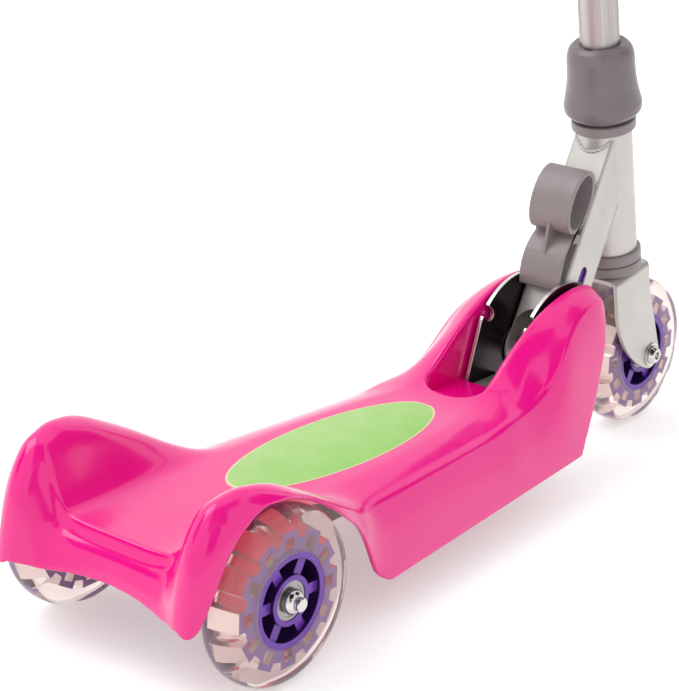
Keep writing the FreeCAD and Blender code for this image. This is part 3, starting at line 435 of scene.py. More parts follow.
def bracketPlate(values):
    # Pressed steel plate, plated: its faces carry a painted reflection, a dark colour standing in for the dark
    # surroundings they mirror, and its edges a painted highlight, a bright colour standing in for the light they
    # catch
    material, add = newMaterial("platedSteelPaintedReflection")
    place = add("TexCoord")
    edge = add("MapRange", {"From Min": 0.95, "From Max": 0.35}, {"Value": (facingSideways(add, place), "Value")})
    streaks = add("TexNoise", {"Scale": perMillimetre(values["streakMm"]), "Detail": 4.0},
                  {"Vector": (place, "Object")})
    face = add("Mix", {"data_type": "RGBA", 6: linear(values["colour"]),
                       7: linear(values["shade"])}, {0: (streaks, "Fac")})
    colour = add("Mix", {"data_type": "RGBA", 7: linear(values["edge"])}, {0: (edge, "Result"), 6: (face, 2)})
    low, high = values["roughness"]
    rough = add("MapRange", {"To Min": low, "To Max": high}, {"Value": (streaks, "Fac")})
    return surfaced(material, add, {"Metallic": values["metallic"]},
                    {"Base Color": (colour, 2), "Roughness": (rough, "Result")})


def drawnTube(name, values):
    # Aluminium tube, drawn through a die and clear anodised: fine lines along it break the highlights into streaks
    material, add = newMaterial(name)
    place = add("TexCoord")
    upright = add("Mapping", {"Rotation": (0, -columnLean, 0)}, {"Vector": (place, "Object")})
    drawn = add("Mapping", {"Scale": values["stretch"]}, {"Vector": (upright, "Vector")})
    lines = add("TexNoise", {"Scale": perMillimetre(values["lineMm"]), "Detail": 3.0},
                {"Vector": (drawn, "Vector")})
    bands = add("TexNoise", {"Scale": perMillimetre(values["bandMm"]), "Detail": 1.0},
                {"Vector": (drawn, "Vector")})
    both = add("Math", {"operation": "MULTIPLY_ADD", 1: 0.45}, {0: (lines, "Fac"), 2: (bands, "Fac")})
    tone = add("MapRange", {"From Min": 0.5, "From Max": 0.95}, {"Value": (both, "Value")})
    colour = add("Mix", {"data_type": "RGBA", 6: linear(values["colour"]),
                         7: linear(values["shade"])}, {0: (tone, "Result")})
    low, high = values["roughness"]
    rough = add("MapRange", {"From Min": 0.3, "From Max": 0.7, "To Min": low, "To Max": high},
                {"Value": (lines, "Fac")})
    return surfaced(material, add, {"Metallic": 1.0}, {"Base Color": (colour, 2), "Roughness": (rough, "Result")},
                    (*values["groove"], (lines, "Fac")))


columnLean = math.atan2(steerAxis[0], steerAxis[2])
drawnAluminium = drawnTube("drawnAnodisedAluminium", {
    "colour": "C5BFBD", "shade": "A59E9C", "lineMm": 1.1, "bandMm": 5.0, "stretch": (1, 1, 0.02),
    "roughness": (0.38, 0.48), "groove": (0.12, 0.2)})
barAluminium = drawnTube("drawnAnodisedBar", {
    "colour": "C2B9B7", "shade": "A09794", "lineMm": 1.1, "bandMm": 5.0, "stretch": (1, 0.02, 1),
    "roughness": (0.24, 0.34), "groove": (0.12, 0.2)})

# Reliefs are a bump's strength and its depth in millimetres
tyreMaterial = clearPolyurethane({
    "colour": "F4EAE6", "shade": "EAD8D3", "flowMm": 7.0, "roughness": (0.015, 0.05), "ripple": (0.05, 0.8),
    "shader": {"IOR": 1.33, "Transmission Weight": 0.9}})
# the hub's near-black violet is a painted shade in its recesses
hubMaterial = hubNylon({
    "middle": "6A2BA8", "ring": "9C74C4", "recess": "2A1048", "wet": "F0E2E0", "ringRadius": (26.7, 27.3),
    "recessRadius": (25.0, 24.5), "wetMirror": 0.85, "wetPolish": 0.2, "driftMm": 5.0, "roughness": (0.24, 0.36),
    "grain": (0.05, 0.6), "shader": {"IOR": 1.53}})
# the plate's dark colours are a painted reflection on its faces, and its edge colour is a painted highlight
plateMaterial = bracketPlate({
    "colour": "332C2F", "shade": "463C40", "edge": "E2E0DD", "streakMm": 5.0, "roughness": (0.16, 0.30),
    "metallic": 0.9})

print("scooter: materials made")


# Curves through chosen values

def spanSlopes(knots, values):
    # harmonic mean of the neighbouring slopes, and none at a crest, so that the curve never overshoots
    steps = np.diff(knots, axis=0)
    slopes = np.diff(values, axis=0) / steps
    before, after = slopes[:-1], slopes[1:]
    heavy, light = 2 * steps[1:] + steps[:-1], steps[1:] + 2 * steps[:-1]
    safe = before * after > 0
    mean = (heavy + light) / (heavy / np.where(safe, before, 1) + light / np.where(safe, after, 1))
    inside = np.where(safe, mean, 0.0)
    return np.concatenate([slopes[:1], inside, slopes[-1:]])


def curveThrough(knots, values, counts):
    # cubic spans between the values with those slopes; counts gives the samples in each span
    knots, values = np.broadcast_arrays(knots, values)
    slopes = spanSlopes(knots, values)
    pieces = []
    for k, count in enumerate(counts):
        last = k == len(counts) - 1
        t = np.linspace(0, 1, count + 1 if last else count, endpoint=last)
        t = t.reshape((-1,) + (1,) * (values.ndim - 1))
        step = knots[k + 1] - knots[k]
        pieces.append((2 * t ** 3 - 3 * t ** 2 + 1) * values[k] + (t ** 3 - 2 * t ** 2 + t) * step * slopes[k]
                      + (3 * t ** 2 - 2 * t ** 3) * values[k + 1] + (t ** 3 - t ** 2) * step * slopes[k + 1])
    return np.concatenate(pieces)


# Deck shell

deckValues = {
    "height": 74.0,              # the standing surface above the floor
    "hump": 42.5,                # the fenders' crest above it
    "overhang": 67.0,            # from the rear axle to the tail
    "lip": 84.4,                 # half the width over the fenders
    "flat": 38.0,                # half the flat width
    "ridge": (60.6, 50.0),       # from the middle to the crease over the skirt, behind and in front
    "ridgeDrop": 6.0,
    "skirtBack": (97.0, 75.0, 26.0),     # the skirt's lower edge: from the axle, from the middle, height
    "skirtFront": (306.0, 59.0, 31.0),
    "wall": 2.6,
    "tailHollow": [(40, 7.8), (45, 6.6), (58, 3.5), (60, 2.9), (62, 2.2), (65, 1.75), (68, 0)],     # height, pull
    "tailEdge": [(0, 51), (20, 50.2), (35, 48.8), (45, 48.2), (54, 48.8), (60, 49.2), (65, 48.4), (69, 47),
                 (90, 46.8)],    # from the middle, height
    "archEdge": [(-70, 46), (-66, 46.2), (-62.5, 47.3), (-59, 49.8), (-56.5, 54.5), (-53.5, 61.9), (-49.4, 71.3),
                 (-44.2, 84.0), (-39.5, 91.6), (-35.1, 96.6), (-30, 100.8), (-23, 105.3), (-12, 108.4), (-1, 107.8),
                 (10, 105), (21, 100.6), (33, 93.7), (42, 86.5), (51, 79), (62, 71), (70, 63.5), (75, 57), (79, 49),
                 (82, 40), (84, 35), (90, 29.5), (97, 26), (104, 25)],     # from the rear axle, height
    "hornEdge": [(20, 304), (31, 308), (45, 318), (60, 329), (75, 339), (90, 349), (105, 356), (118, 359),
                 (130, 354)],    # height, from the rear axle
    "tailShares": [              # place in overhangs; flat's and crest's height in humps; flat's growth; spread
        (-1.00, -1.35, -1.20, 17, 0.32), (-0.955, -1.12, -0.55, 14, 0.41), (-0.90, -0.86, 0.04, 11, 0.50),
        (-0.866, -0.69, 0.28, 8, 0.585), (-0.776, -0.38, 0.58, 4, 0.74), (-0.70, -0.21, 0.76, 2, 0.81),
        (-0.66, -0.17, 0.83, 1, 0.85), (-0.60, 0, 0.90, 0, 0.895), (-0.56, 0, 0.92, 0, 0.905),
        (-0.328, 0, 0.99, 0, 0.96), (-0.06, 0, 0.93, 0, 1.0), (0.224, 0, 0.73, 0, 1.0),
        (0.567, 0, 0.46, 0, 0.98), (0.925, 0, 0.13, 0, 0.84)],
    "hornShares": [              # place, pocket's widening and height, crease's reach and height, in bracket radii
        (-2.09, 0.12, -0.05, 1.0, -0.15), (-1.72, 0.03, 0.08, 0.96, -0.13), (-1.42, 0, 0.36, 0.93, -0.04),
        (-1.06, 0, 0.60, 0.92, 0.14), (-0.86, 0, 0.715, 0.90, 0.37), (-0.567, 0, 0.845, 0.82, 0.63),
        (0.113, 0, 0.98, 0.70, 0.84), (0.35, 0, 0.96, 0.68, 0.83),
        (0.67, 0, 0.85, 0.55, 0.72), (1.0, 0, 0.54, 0.45, 0.45)],
    "rim": 48.5,                 # the fold bracket's rim radius, which the horns follow
    "pocketHalf": 20.4,
    "pocketLength": 99.5,
    "pocketRound": 14.0,
    "pocketFloor": 68.0,
    "pocketEdge": 3.0,           # the rounding at the pocket's top edge
    "smoothing": (30, 5),        # passes along the deck and across it
    "lobeSmoothing": (0.55, 44, 58),     # the tail's share of them over its lobes, from the middle
    "tailSpared": (0.04, 38, 13),        # the tail's share elsewhere, and where it ends and the full share starts
    "archStart": (-45, -25),     # where the tail's edge passes into the arch's
    "archOuter": (62, 69),       # how far out the tail's edge rises into the arch's
    "archInner": (54, 62),       # how far in nothing is cut off by the arch
    "archEnd": (78, 104),        # where the arch runs into the skirt's line
}


def skirtLine(values, x):
    # the lower edge's distance from the middle and its height, on a straight line
    back, front = np.array(values["skirtBack"]), np.array(values["skirtFront"])
    share = (x - rearX - back[0]) / (front[0] - back[0])
    return back[1] + (front[1] - back[1]) * share, back[2] + (front[2] - back[2]) * share


def tailSections(values):
    # across the rear wheels: flat middle, hump over the wheel and its side wall, at shares of the overhang
    sections = []
    flat, lip = values["flat"], values["lip"]
    for share, centre, crest, start, spread in values["tailShares"]:
        full = min(max((share + 0.5) / 0.4, 0), 1)
        across = [(51.0, 0.52), (59.5, 0.90), (69.0, 1.0), (79.5, 0.78 + 0.14 * full), (lip - 0.8, 0.5 + 0.26 * full)]
        low = values["height"] + centre * values["hump"]
        rise = (crest - centre) * values["hump"]
        inner = flat + start
        half = [(0, low), (inner / 2, low), (inner, low + 0.04 * rise)]
        half += [(inner + (y - flat) * spread, low + part * rise) for y, part in across]
        half.append((inner + (lip - flat) * spread, 15.0))
        sections.append((rearX + share * values["overhang"], half))
    return sections


def deckSection(values, x, inner, innerHeight, shoulder, shoulderHeight):
    # flat or pocket side, a gentle fall to the crease, and the skirt's straight wall down past its lower edge
    step, drop = (shoulder - inner) / 3, (innerHeight - shoulderHeight) / 3
    start = shoulder + 4.0, shoulderHeight - 5.0
    edge = skirtLine(values, x)
    flare = (edge[0] - start[0]) / (start[1] - edge[1])
    return x, [
        (0, innerHeight), (inner / 2, innerHeight), (inner, innerHeight),
        (inner + step, innerHeight - 0.6 * drop), (inner + 2 * step, innerHeight - 1.6 * drop),
        (shoulder, shoulderHeight), (shoulder + 2.2, shoulderHeight - 1.8), start,
        (start[0] + flare * (start[1] - 15.0), 15.0),
    ]


def middleSections(values):
    # four sections between the wheels and the horns, whose crease runs straight while the flat narrows
    first, last = rearX + 1.31 * values["overhang"], foldPivot[0] - 2.5 * values["rim"]
    back, front = values["ridge"]
    return [deckSection(values, first + (last - first) * share, values["flat"] - 10 * share ** 2, values["height"],
                        back + (front - back) * share, values["height"] - values["ridgeDrop"])
            for share in np.linspace(0, 1, 4)]


def hornSections(values):
    # place, pocket side and crease, all as shares of the bracket's rim radius from its pivot
    rim = values["rim"]
    return [deckSection(values, foldPivot[0] + place * rim, values["pocketHalf"] * (1 + widen),
                        foldPivot[2] + rise * rim, reach * rim, foldPivot[2] + shoulderRise * rim)
            for place, widen, rise, reach, shoulderRise in values["hornShares"]]


def deckSheet(values):
    # every section's points joined along the deck, then each row joined across it and mirrored
    sections = tailSections(values) + middleSections(values) + hornSections(values)
    places = np.array([x for x, _ in sections])
    table = np.array([half for _, half in sections])
    spans = np.diff(places)
    counts = np.maximum(3, np.round(spans / np.where(places[:-1] < rearX - 35, 0.8, 1.9))).astype(int)
    columns = table.reshape(len(places), -1)
    rows = curveThrough(places[:, None], columns, counts).reshape(-1, 9, 2)
    xs = curveThrough(places, places, counts)
    chords = np.maximum(np.linalg.norm(np.diff(rows, axis=1), axis=2), 0.2)
    knots = np.concatenate([np.zeros((len(rows), 1)), np.cumsum(chords, axis=1)], axis=1)
    acrossCounts = [7, 9, 8, 6, 6, 8, 5, 22]
    half = curveThrough(knots.T[:, :, None], rows.transpose(1, 0, 2), acrossCounts).transpose(1, 0, 2)
    half = np.concatenate([np.broadcast_to(xs[:, None, None], half.shape[:2] + (1,)), half], axis=2)
    mirrored = half[:, :0:-1] * np.array([1, -1, 1])
    sheet = smoothed(np.concatenate([mirrored, half], axis=1), values)
    heights, pulls = zip(*values["tailHollow"])
    pull = np.interp(sheet[..., 2], heights, pulls) * (sheet[..., 0] < rearX)
    sheet[..., 0] += pull * np.clip(1 - (sheet[..., 1] / 46) ** 2, 0, 1)
    return sheet


def smoothed(grid, values):
    # each pass takes a quarter of both neighbours; along the deck the tail's step is spared
    along, across = values["smoothing"]
    lobeShare, lobeFrom, lobeTo = values["lobeSmoothing"]
    least, end, start = values["tailSpared"]
    lobes = lobeShare * ease(np.abs(grid[..., 1:2]), lobeFrom, lobeTo)
    share = np.clip((grid[:, :1, :1] - rearX + end) / (end - start), np.maximum(least, lobes), 1)[1:-1]
    for _ in range(along):
        grid[1:-1] += share * ((grid[:-2] + 2 * grid[1:-1] + grid[2:]) / 4 - grid[1:-1])
    for _ in range(across):
        grid[:, 1:-1] = (grid[:, :-2] + 2 * grid[:, 1:-1] + grid[:, 2:]) / 4
    return grid


def clipped(points, quads, field):
    # keeps the grid where the field is positive: points near the cut move onto it, then the cells across it are cut
    points, field = points.reshape(-1, 3).copy(), field.reshape(-1).copy()
    sides = np.concatenate([quads[:, [k, (k + 1) % 4]] for k in range(4)])
    sides = np.unique(np.sort(sides, axis=1), axis=0)
    sides = sides[field[sides[:, 0]] * field[sides[:, 1]] < 0]
    share = field[sides[:, 0]] / (field[sides[:, 0]] - field[sides[:, 1]])
    owner, other = np.concatenate([sides, sides[:, ::-1]]).T
    share = np.concatenate([share, 1 - share])
    order = np.argsort(-share)                   # the nearest crossing comes last, and wins
    order = order[share[order] < 0.3]
    owner, other, share = owner[order], other[order], share[order]
    points[owner] = points[owner] + (points[other] - points[owner]) * share[:, None]
    field[owner] = 0

    def across(cells):
        sign = np.sign(field)[cells]
        some, out = (sign > 0).any(1), (sign < 0).any(1)
        return some & ~out, some & out, sign

    whole, mixed, _ = across(quads)
    triangles = np.concatenate([quads[mixed][:, [0, 1, 2]], quads[mixed][:, [0, 2, 3]]])
    inside, cut, sign = across(triangles)
    kept, triangles, sign = triangles[inside], triangles[cut], sign[cut]
    positives, negatives = (sign > 0).sum(1), (sign < 0).sum(1)
    lone = np.where(positives == 1, (sign > 0).argmax(1), (sign < 0).argmax(1))
    turn = (lone[:, None] + np.arange(3)) % 3    # turns each triangle so that its lone corner comes first
    triangles, sign = (np.take_along_axis(table, turn, 1) for table in (triangles, sign))
    one, onCut = positives == 1, negatives == 1
    crossings = np.sort(np.concatenate([triangles[:, [0, 1]], triangles[:, [0, 2]]]), axis=1)
    unique, ids = np.unique(crossings, axis=0, return_inverse=True)
    first, second = ids.reshape(2, -1) + len(points)
    a, b = unique.T
    with np.errstate(divide="ignore", invalid="ignore"):
        t = np.clip(np.nan_to_num(field[a] / (field[a] - field[b])), 0, 1)[:, None]
    points = np.concatenate([points, points[a] + (points[b] - points[a]) * t])
    corner, left, right = triangles.T
    tris = np.concatenate([
        kept, np.stack([corner, first, second], 1)[one & ~onCut],
        np.stack([corner, first, right], 1)[one & onCut & (sign[:, 1] < 0)],
        np.stack([corner, left, second], 1)[one & onCut & (sign[:, 2] < 0)]])
    fours = np.concatenate([quads[whole], np.stack([first, left, right, second], 1)[positives == 2]])
    used, renamed = np.unique(np.concatenate([tris.reshape(-1), fours.reshape(-1)]), return_inverse=True)
    return points[used], renamed[:tris.size].reshape(-1, 3), renamed[tris.size:].reshape(-1, 4)


def ease(value, low, high):
    # 0 below the low value, 1 above the high one, and a smooth step (3s^2 - 2s^3) between them
    share = np.clip((value - low) / (high - low), 0, 1)
    return share * share * (3 - 2 * share)


def lowerEdge(points, values):
    # the shell's lower edge as a height: tail, wheel arch and skirt, then the horns' slanted front
    x, side = points[..., 0] - rearX, np.abs(points[..., 1])
    tail, arch = smoothInterp(side, values["tailEdge"]), smoothInterp(x, values["archEdge"])
    behind, outer = 1 - ease(x, *values["archStart"]), ease(side, *values["archOuter"])
    meeting, end = values["archEnd"]
    edge = arch - 200 * (1 - ease(side, *values["archInner"])) * (x < meeting)
    edge = edge + (tail + (arch - tail) * outer - edge) * behind
    skirt = skirtLine(values, points[..., 0])[1]
    edge = np.where(x > end, skirt, np.where(x > meeting, np.maximum(edge, skirt), edge))
    return points[..., 2] - edge


def smoothInterp(x, pairs):
    # the smooth curve through the pairs, read at every x
    pairs = np.array(pairs, float)
    counts = [12] * (len(pairs) - 1)
    fine = curveThrough(pairs[:, 0], pairs[:, 1], counts)
    return np.interp(x, curveThrough(pairs[:, 0], pairs[:, 0], counts), fine)


def hornFront(points, values):
    # behind the horns' slanted front, a curve of x over height
    return smoothInterp(points[..., 2], values["hornEdge"]) - (points[..., 0] - rearX)


def pocketCurve(points, values, grow):
    # outside the pocket's outline from above: an ellipse's nose and two straight sides
    half, nose = values["pocketHalf"] + grow, values["pocketRound"] + grow
    straight = foldPivot[0] - values["pocketLength"] + values["pocketRound"]
    ahead = np.maximum(straight - points[..., 0], 0) / nose
    return (np.hypot(ahead, points[..., 1] / half) - 1) * half


def pocketWall(edge, values, steps=6):
    # from the pocket's upper edge over its rounding and down the wall
    straight = foldPivot[0] - values["pocketLength"] + values["pocketRound"]
    half, nose = values["pocketHalf"] + values["pocketEdge"], values["pocketRound"] + values["pocketEdge"]
    ahead = np.maximum(straight - edge[:, 0], 0)
    inward = np.stack([ahead / nose ** 2, -edge[:, 1] / half ** 2], 1)
    inward /= np.linalg.norm(inward, axis=1)[:, None]
    radius = values["pocketEdge"]
    rows = [edge]
    for turn in np.linspace(0, math.pi / 2, steps)[1:]:
        row = edge.copy()
        row[:, :2] += inward * radius * math.sin(turn)
        row[:, 2] -= radius * (1 - math.cos(turn))
        rows.append(row)
    low = values["pocketFloor"] - 3.0
    for share in np.linspace(0, 1, 10)[1:]:
        row = rows[steps - 1].copy()
        row[:, 2] += (low - row[:, 2]) * share
        rows.append(row)
    return np.stack(rows)


def deckMesh(values):
    # the sheet kept above its lower edge, behind the horns' front and outside the pocket, whose wall is joined to it
    sheet = deckSheet(values)
    quads = gridFaces(*sheet.shape[:2])
    edgeField = pocketCurve(sheet, values, values["pocketEdge"])
    field = np.minimum(np.minimum(hornFront(sheet, values), lowerEdge(sheet, values)), edgeField)
    points, tris, fours = clipped(sheet, quads, field)
    faces = fours.tolist() + tris.tolist()
    mesh = makeMesh("deckOutline", points, faces)
    work = bmesh.new()
    work.from_mesh(mesh)
    rim = [(edge.verts[0].index, edge.verts[1].index) for edge in work.edges if edge.is_boundary]
    work.free()
    bpy.data.meshes.remove(mesh)
    rimPoints = np.unique(np.array(rim))
    onPocket = rimPoints[np.abs(pocketCurve(points[rimPoints], values, values["pocketEdge"])) < 0.5]
    far = foldPivot[0] + 200.0
    order = np.argsort(np.arctan2(points[onPocket, 1], points[onPocket, 0] - far) % (2 * math.pi))
    edge = points[onPocket[order]]
    wall = pocketWall(edge, values)
    wallPoints, wallTris, wallFours = clipped(wall, gridFaces(*wall.shape[:2]), hornFront(wall, values))
    start = len(points)
    faces += (wallFours[:, ::-1] + start).tolist() + (wallTris[:, ::-1] + start).tolist()
    return np.concatenate([points, wallPoints]), faces


def shellSolid(mesh, values, steps=6):
    # the sheet, a copy one wall further in, and a half-round rim that joins the two all along the sheet's edges
    count = len(mesh.vertices)
    points, normals = meshPoints(mesh), np.zeros(count * 3)
    mesh.vertex_normals.foreach_get("vector", normals)
    normals = normals.reshape(-1, 3)
    corners = np.zeros(len(mesh.loops), int)
    starts, totals = np.zeros((2, len(mesh.polygons)), int)
    mesh.loops.foreach_get("vertex_index", corners)
    mesh.polygons.foreach_get("loop_start", starts)
    mesh.polygons.foreach_get("loop_total", totals)
    after = np.arange(len(corners)) + 1
    after[starts + totals - 1] = starts
    a, b = corners, corners[after]
    edges = ~np.isin(a * count + b, b * count + a)
    a, b = a[edges], b[edges]
    ahead, behind = np.arange(count), np.arange(count)
    ahead[a], behind[b] = b, a
    rim = np.unique(a)
    for _ in range(6):
        normals[rim] = normals[behind[rim]] + 2 * normals[rim] + normals[ahead[rim]]
        normals[rim] /= np.linalg.norm(normals[rim], axis=1)[:, None]
    outward = np.zeros((count, 3))
    outward[rim] = np.cross(points[ahead[rim]] - points[behind[rim]], normals[rim])
    for _ in range(4):
        outward[rim] /= np.maximum(np.linalg.norm(outward[rim], axis=1), 1e-6)[:, None]
        outward[rim] = outward[behind[rim]] + 2 * outward[rim] + outward[ahead[rim]]
    outward[rim] /= np.maximum(np.linalg.norm(outward[rim], axis=1), 1e-6)[:, None]
    half = values["wall"] / 2
    rows, place = [np.arange(count)], np.zeros(count, int)
    place[rim] = np.arange(len(rim))
    solid = [points, points - 2 * half * normals]
    for turn in np.linspace(0, math.pi, steps + 1)[1:-1]:
        rows.append(place + 2 * count + (len(rows) - 1) * len(rim))
        inward, beyond = half * (1 - math.cos(turn)), 0.75 * half * math.sin(turn)
        solid.append(points[rim] - inward * normals[rim] + beyond * outward[rim])
    rows.append(np.arange(count) + count)
    sides = [np.stack([upper[b], upper[a], lower[a], lower[b]], 1) for upper, lower in zip(rows[:-1], rows[1:])]
    faces = np.concatenate(sides).tolist()
    for size in (3, 4):
        group = corners[starts[totals == size][:, None] + np.arange(size)]
        faces += group.tolist() + (group[:, ::-1] + count).tolist()
    shell = makeMesh("deckShell", np.concatenate(solid), faces)
    # the inner skin is marked for the painted glow of the pink plastic
    markPoints(shell, "innerSkin", np.arange(len(shell.vertices)) // count == 1)
    return shell


deckSkin = makeMesh("deckSkin", *deckMesh(deckValues))
facingUp(finished(deckSkin, closed=False, sharpDegrees=60, weld=0.00005))
deckSolid = finished(shellSolid(deckSkin, deckValues), closed=False, sharpDegrees=60, weld=0.0)
bpy.data.meshes.remove(deckSkin)
addPiece(deckSolid, "frame", pinkPlastic, ["deck_shell"])


# What the shell holds inside: the pocket's floor, the ribs across it and the screw bosses

insideValues = {
    "floorThickness": 3.0,
    "floorEnd": 56.0,            # how far the pocket's floor stops behind the fold pivot
    "ribThickness": 2.5,
    "ribDepth": 22.0,
    "ribPlaces": (105.0, 175.0, 240.0),      # from the rear axle
    "railGap": 0.3,
    "bossRadius": 6.5,
    "bossHole": 2.0,
}


def prismMesh(name, outline, low, high):
    # an outline in the X-Y plane carried from one height to the other and capped
    ring = np.concatenate([np.c_[outline, np.full(len(outline), low)], np.c_[outline, np.full(len(outline), high)]])
    count = len(outline)
    faces = gridFaces(2, count, closeColumns=True).tolist() + [list(range(count)), list(range(count, 2 * count))]
    return finished(makeMesh(name, ring, faces))


def pocketFloorPlate(values, inside):
    # half an ellipse at the nose and two straight sides, just inside the pocket's wall
    half, nose = values["pocketHalf"] + 0.6, values["pocketRound"] + 0.6
    straight = foldPivot[0] - values["pocketLength"] + values["pocketRound"]
    turn = np.linspace(math.pi / 2, 1.5 * math.pi, 33)
    outline = np.stack([straight + nose * np.cos(turn), half * np.sin(turn)], 1)
    end = foldPivot[0] - inside["floorEnd"]
    outline = np.concatenate([outline, [(end, -half), (end, half)]])
    return prismMesh("pocketFloor", outline, values["pocketFloor"] - inside["floorThickness"], values["pocketFloor"])


def ribMesh(sheet, values, inside, place):
    # four corners of a thin plate carried across the deck: its top follows the inner skin, its foot clears the rail
    railHigh = boxCorners("main_rail")[1]
    row = sheet[np.abs(sheet[:, 0, 0] - rearX - place).argmin(), sheet.shape[1] // 2:]
    low = values["height"] - inside["ribDepth"]
    skin = row[row[:, 2] - values["wall"] > low + 0.5]
    y, top = skin[:, 1] * 0.965, skin[:, 2] - 0.8 * values["wall"]
    notch = railHigh[1] + inside["railGap"]
    y = np.concatenate([y[y < notch], [notch, notch], y[y > notch]])
    top = np.interp(y, skin[:, 1] * 0.965, top)
    inNotch = np.arange(len(y)) <= np.argmax(y >= notch)
    foot = np.where(inNotch, railHigh[2], low)
    y, top, foot = (np.concatenate([sign * part[::-1], part]) for part, sign in ((y, -1), (top, 1), (foot, 1)))
    near, far = rearX + place, rearX + place + inside["ribThickness"]
    ring = np.stack([np.stack(np.broadcast_arrays(x, y, z), -1)
                     for x, z in ((near, foot), (near, top), (far, top), (far, foot))], 1)
    faces = gridFaces(len(y), 4, closeColumns=True).tolist() + [[0, 1, 2, 3], list(range(4 * len(y) - 4, 4 * len(y)))]
    return finished(makeMesh("deckRib%d" % round(place), ring.reshape(-1, 3), faces))


def bossMesh(values, inside, x, name):
    # a tapered tube from the rail's top to the inner skin
    railTop = boxCorners("main_rail")[1, 2]
    high = values["height"] - 0.6 * values["wall"]
    radius = inside["bossRadius"]
    profile = roundedPath([(inside["bossHole"], high, 0), (inside["bossHole"], railTop, 0), (radius, railTop, 0.6),
                           (radius - 0.3, high - 1.5, 1.0), (radius + 1.5, high, 0)], 3)
    points, _ = turnedSurface(profile, 32)
    faces = gridFaces(len(profile), 32, closeRows=True, closeColumns=True)
    return finished(makeMesh(name, points + np.array([x, 0, 0]), faces))


def addInsides(values, inside):
    # a boss over each of the three screws, which stand in a row
    sheet = deckSheet(values)
    screwLow, screwHigh = boxCorners("deck_screws")
    screwRadius = (screwHigh[1] - screwLow[1]) / 2
    screwPlaces = np.linspace(screwLow[0] + screwRadius, screwHigh[0] - screwRadius, 3)
    meshes = [pocketFloorPlate(values, inside)]
    meshes += [ribMesh(sheet, values, inside, place) for place in inside["ribPlaces"]]
    meshes += [bossMesh(values, inside, x, "screwBoss%d" % (index + 1)) for index, x in enumerate(screwPlaces)]
    for mesh in meshes:
        addPiece(mesh, "frame", pinkPlastic)


addInsides(deckValues, insideValues)
print("scooter: deck shell made,", len(deckSolid.polygons), "faces")


labelValues = {
    "lift": 0.22,                # its face above the deck
    "edge": 0.2,                 # the film's thickness at its rim
    "rings": 24, "around": 160,
    "green": "86C34E", "pale": "B2D588", "border": "E2D3A8", "borderShare": (0.972, 0.978),
    "cloudMm": 16.0, "speckMm": 1.1, "roughness": (0.36, 0.46), "relief": (0.08, 0.3),
}


def labelFilm(values):
    # Vinyl film, printed green with a cream border: a satin skin whose green drifts at random and turns pale towards
    # +Y in a painted sheen
    material, add = newMaterial("printedVinylFilm")
    place = add("TexCoord")
    rim = add("Attribute", {"attribute_name": "labelRadius"})
    parts = add("SeparateXYZ", {}, {"Vector": (place, "Object")})
    # painted sheen: the green turns paler towards +Y, and the cloud adds a random drift
    slope = add("Math", {"operation": "MULTIPLY_ADD", 1: 6.0, 2: 0.5}, {0: (parts, "Y")})
    cloud = add("TexNoise", {"Scale": perMillimetre(values["cloudMm"]), "Detail": 3.0},
                {"Vector": (place, "Object")})
    speck = add("TexNoise", {"Scale": perMillimetre(values["speckMm"]), "Detail": 2.0},
                {"Vector": (place, "Object")})
    mixed = add("Math", {"operation": "MULTIPLY_ADD", 1: 0.5}, {0: (cloud, "Fac"), 2: (slope, "Value")})
    sheenShare = add("MapRange", {"From Min": 0.45, "From Max": 1.05}, {"Value": (mixed, "Value")})
    green = add("Mix", {"data_type": "RGBA", 6: linear(values["green"]),
                        7: linear(values["pale"])}, {0: (sheenShare, "Result")})
    fine = add("Mix", {"data_type": "RGBA", "blend_type": "SOFT_LIGHT", 0: 0.3},
               {6: (green, 2), 7: (speck, "Color")})
    start, end = values["borderShare"]
    border = add("MapRange", {"From Min": start, "From Max": end}, {"Value": (rim, "Fac")})
    colour = add("Mix", {"data_type": "RGBA", 7: linear(values["border"])}, {0: (border, "Result"), 6: (fine, 2)})
    low, high = values["roughness"]
    rough = add("MapRange", {"To Min": low, "To Max": high}, {"Value": (cloud, "Fac")})
    return surfaced(material, add, {"IOR": 1.5}, {"Base Color": (colour, 2), "Roughness": (rough, "Result")},
                    (*values["relief"], (speck, "Fac")))


def deckLabel(values):
    # an ellipse in rings from the middle out, whose last rings turn down to the deck
    low, high = boxCorners("deck_label")
    centre, half = (low + high) / 2, (high - low) / 2
    edge = values["edge"]
    radius = np.concatenate([np.linspace(0, 0.99, values["rings"]), [0.996, 1.0, 1.0]])
    drop = np.concatenate([np.zeros(values["rings"]), [0.1 * edge, 0.5 * edge, 1.6 * edge]])
    angle = np.linspace(0, 2 * math.pi, values["around"], endpoint=False)
    grid = np.stack(np.broadcast_arrays(
        centre[0] + half[0] * radius[:, None] * np.cos(angle), half[1] * radius[:, None] * np.sin(angle),
        (deckValues["height"] + values["lift"] - drop)[:, None]), -1)
    faces = gridFaces(len(radius), len(angle), closeColumns=True)
    mesh = facingUp(finished(makeMesh("deckLabel", grid.reshape(-1, 3), faces), closed=False))
    share = (meshPoints(mesh) - centre)[:, :2] / half[:2]
    markPoints(mesh, "labelRadius", np.hypot(share[:, 0], share[:, 1]))
    return mesh


addPiece(deckLabel(labelValues), "frame", labelFilm(labelValues), ["deck_label"])
print("scooter: label laid")


# Wheels

tyreValues = {"inner": 26.5, "halfWidth": 11.7, "shoulder": 44.5, "around": 144}     # radii; points round it


def tyreProfile(values):
    # a closed outline: sides, round shoulders and a crowned tread
    half, radius = values["halfWidth"], wheelRadius
    crown = np.linspace(-1, 1, 25)
    shoulder = values["shoulder"]
    tread = [(radius - (radius - shoulder) * c * c * (0.55 + 0.45 * c * c), half * c * (1 - 0.03 * c * c))
             for c in crown]
    side = roundedPath([(values["inner"], -half + 0.4, 0), (values["inner"] + 1.2, -half, 0.5),
                        (shoulder - 2.0, -half, 0), tread[1] + (0,)], 4)
    lower = side[:-1]
    upper = lower[::-1] * np.array([1, -1])
    return np.concatenate([lower, np.array(tread[1:-1]), upper])


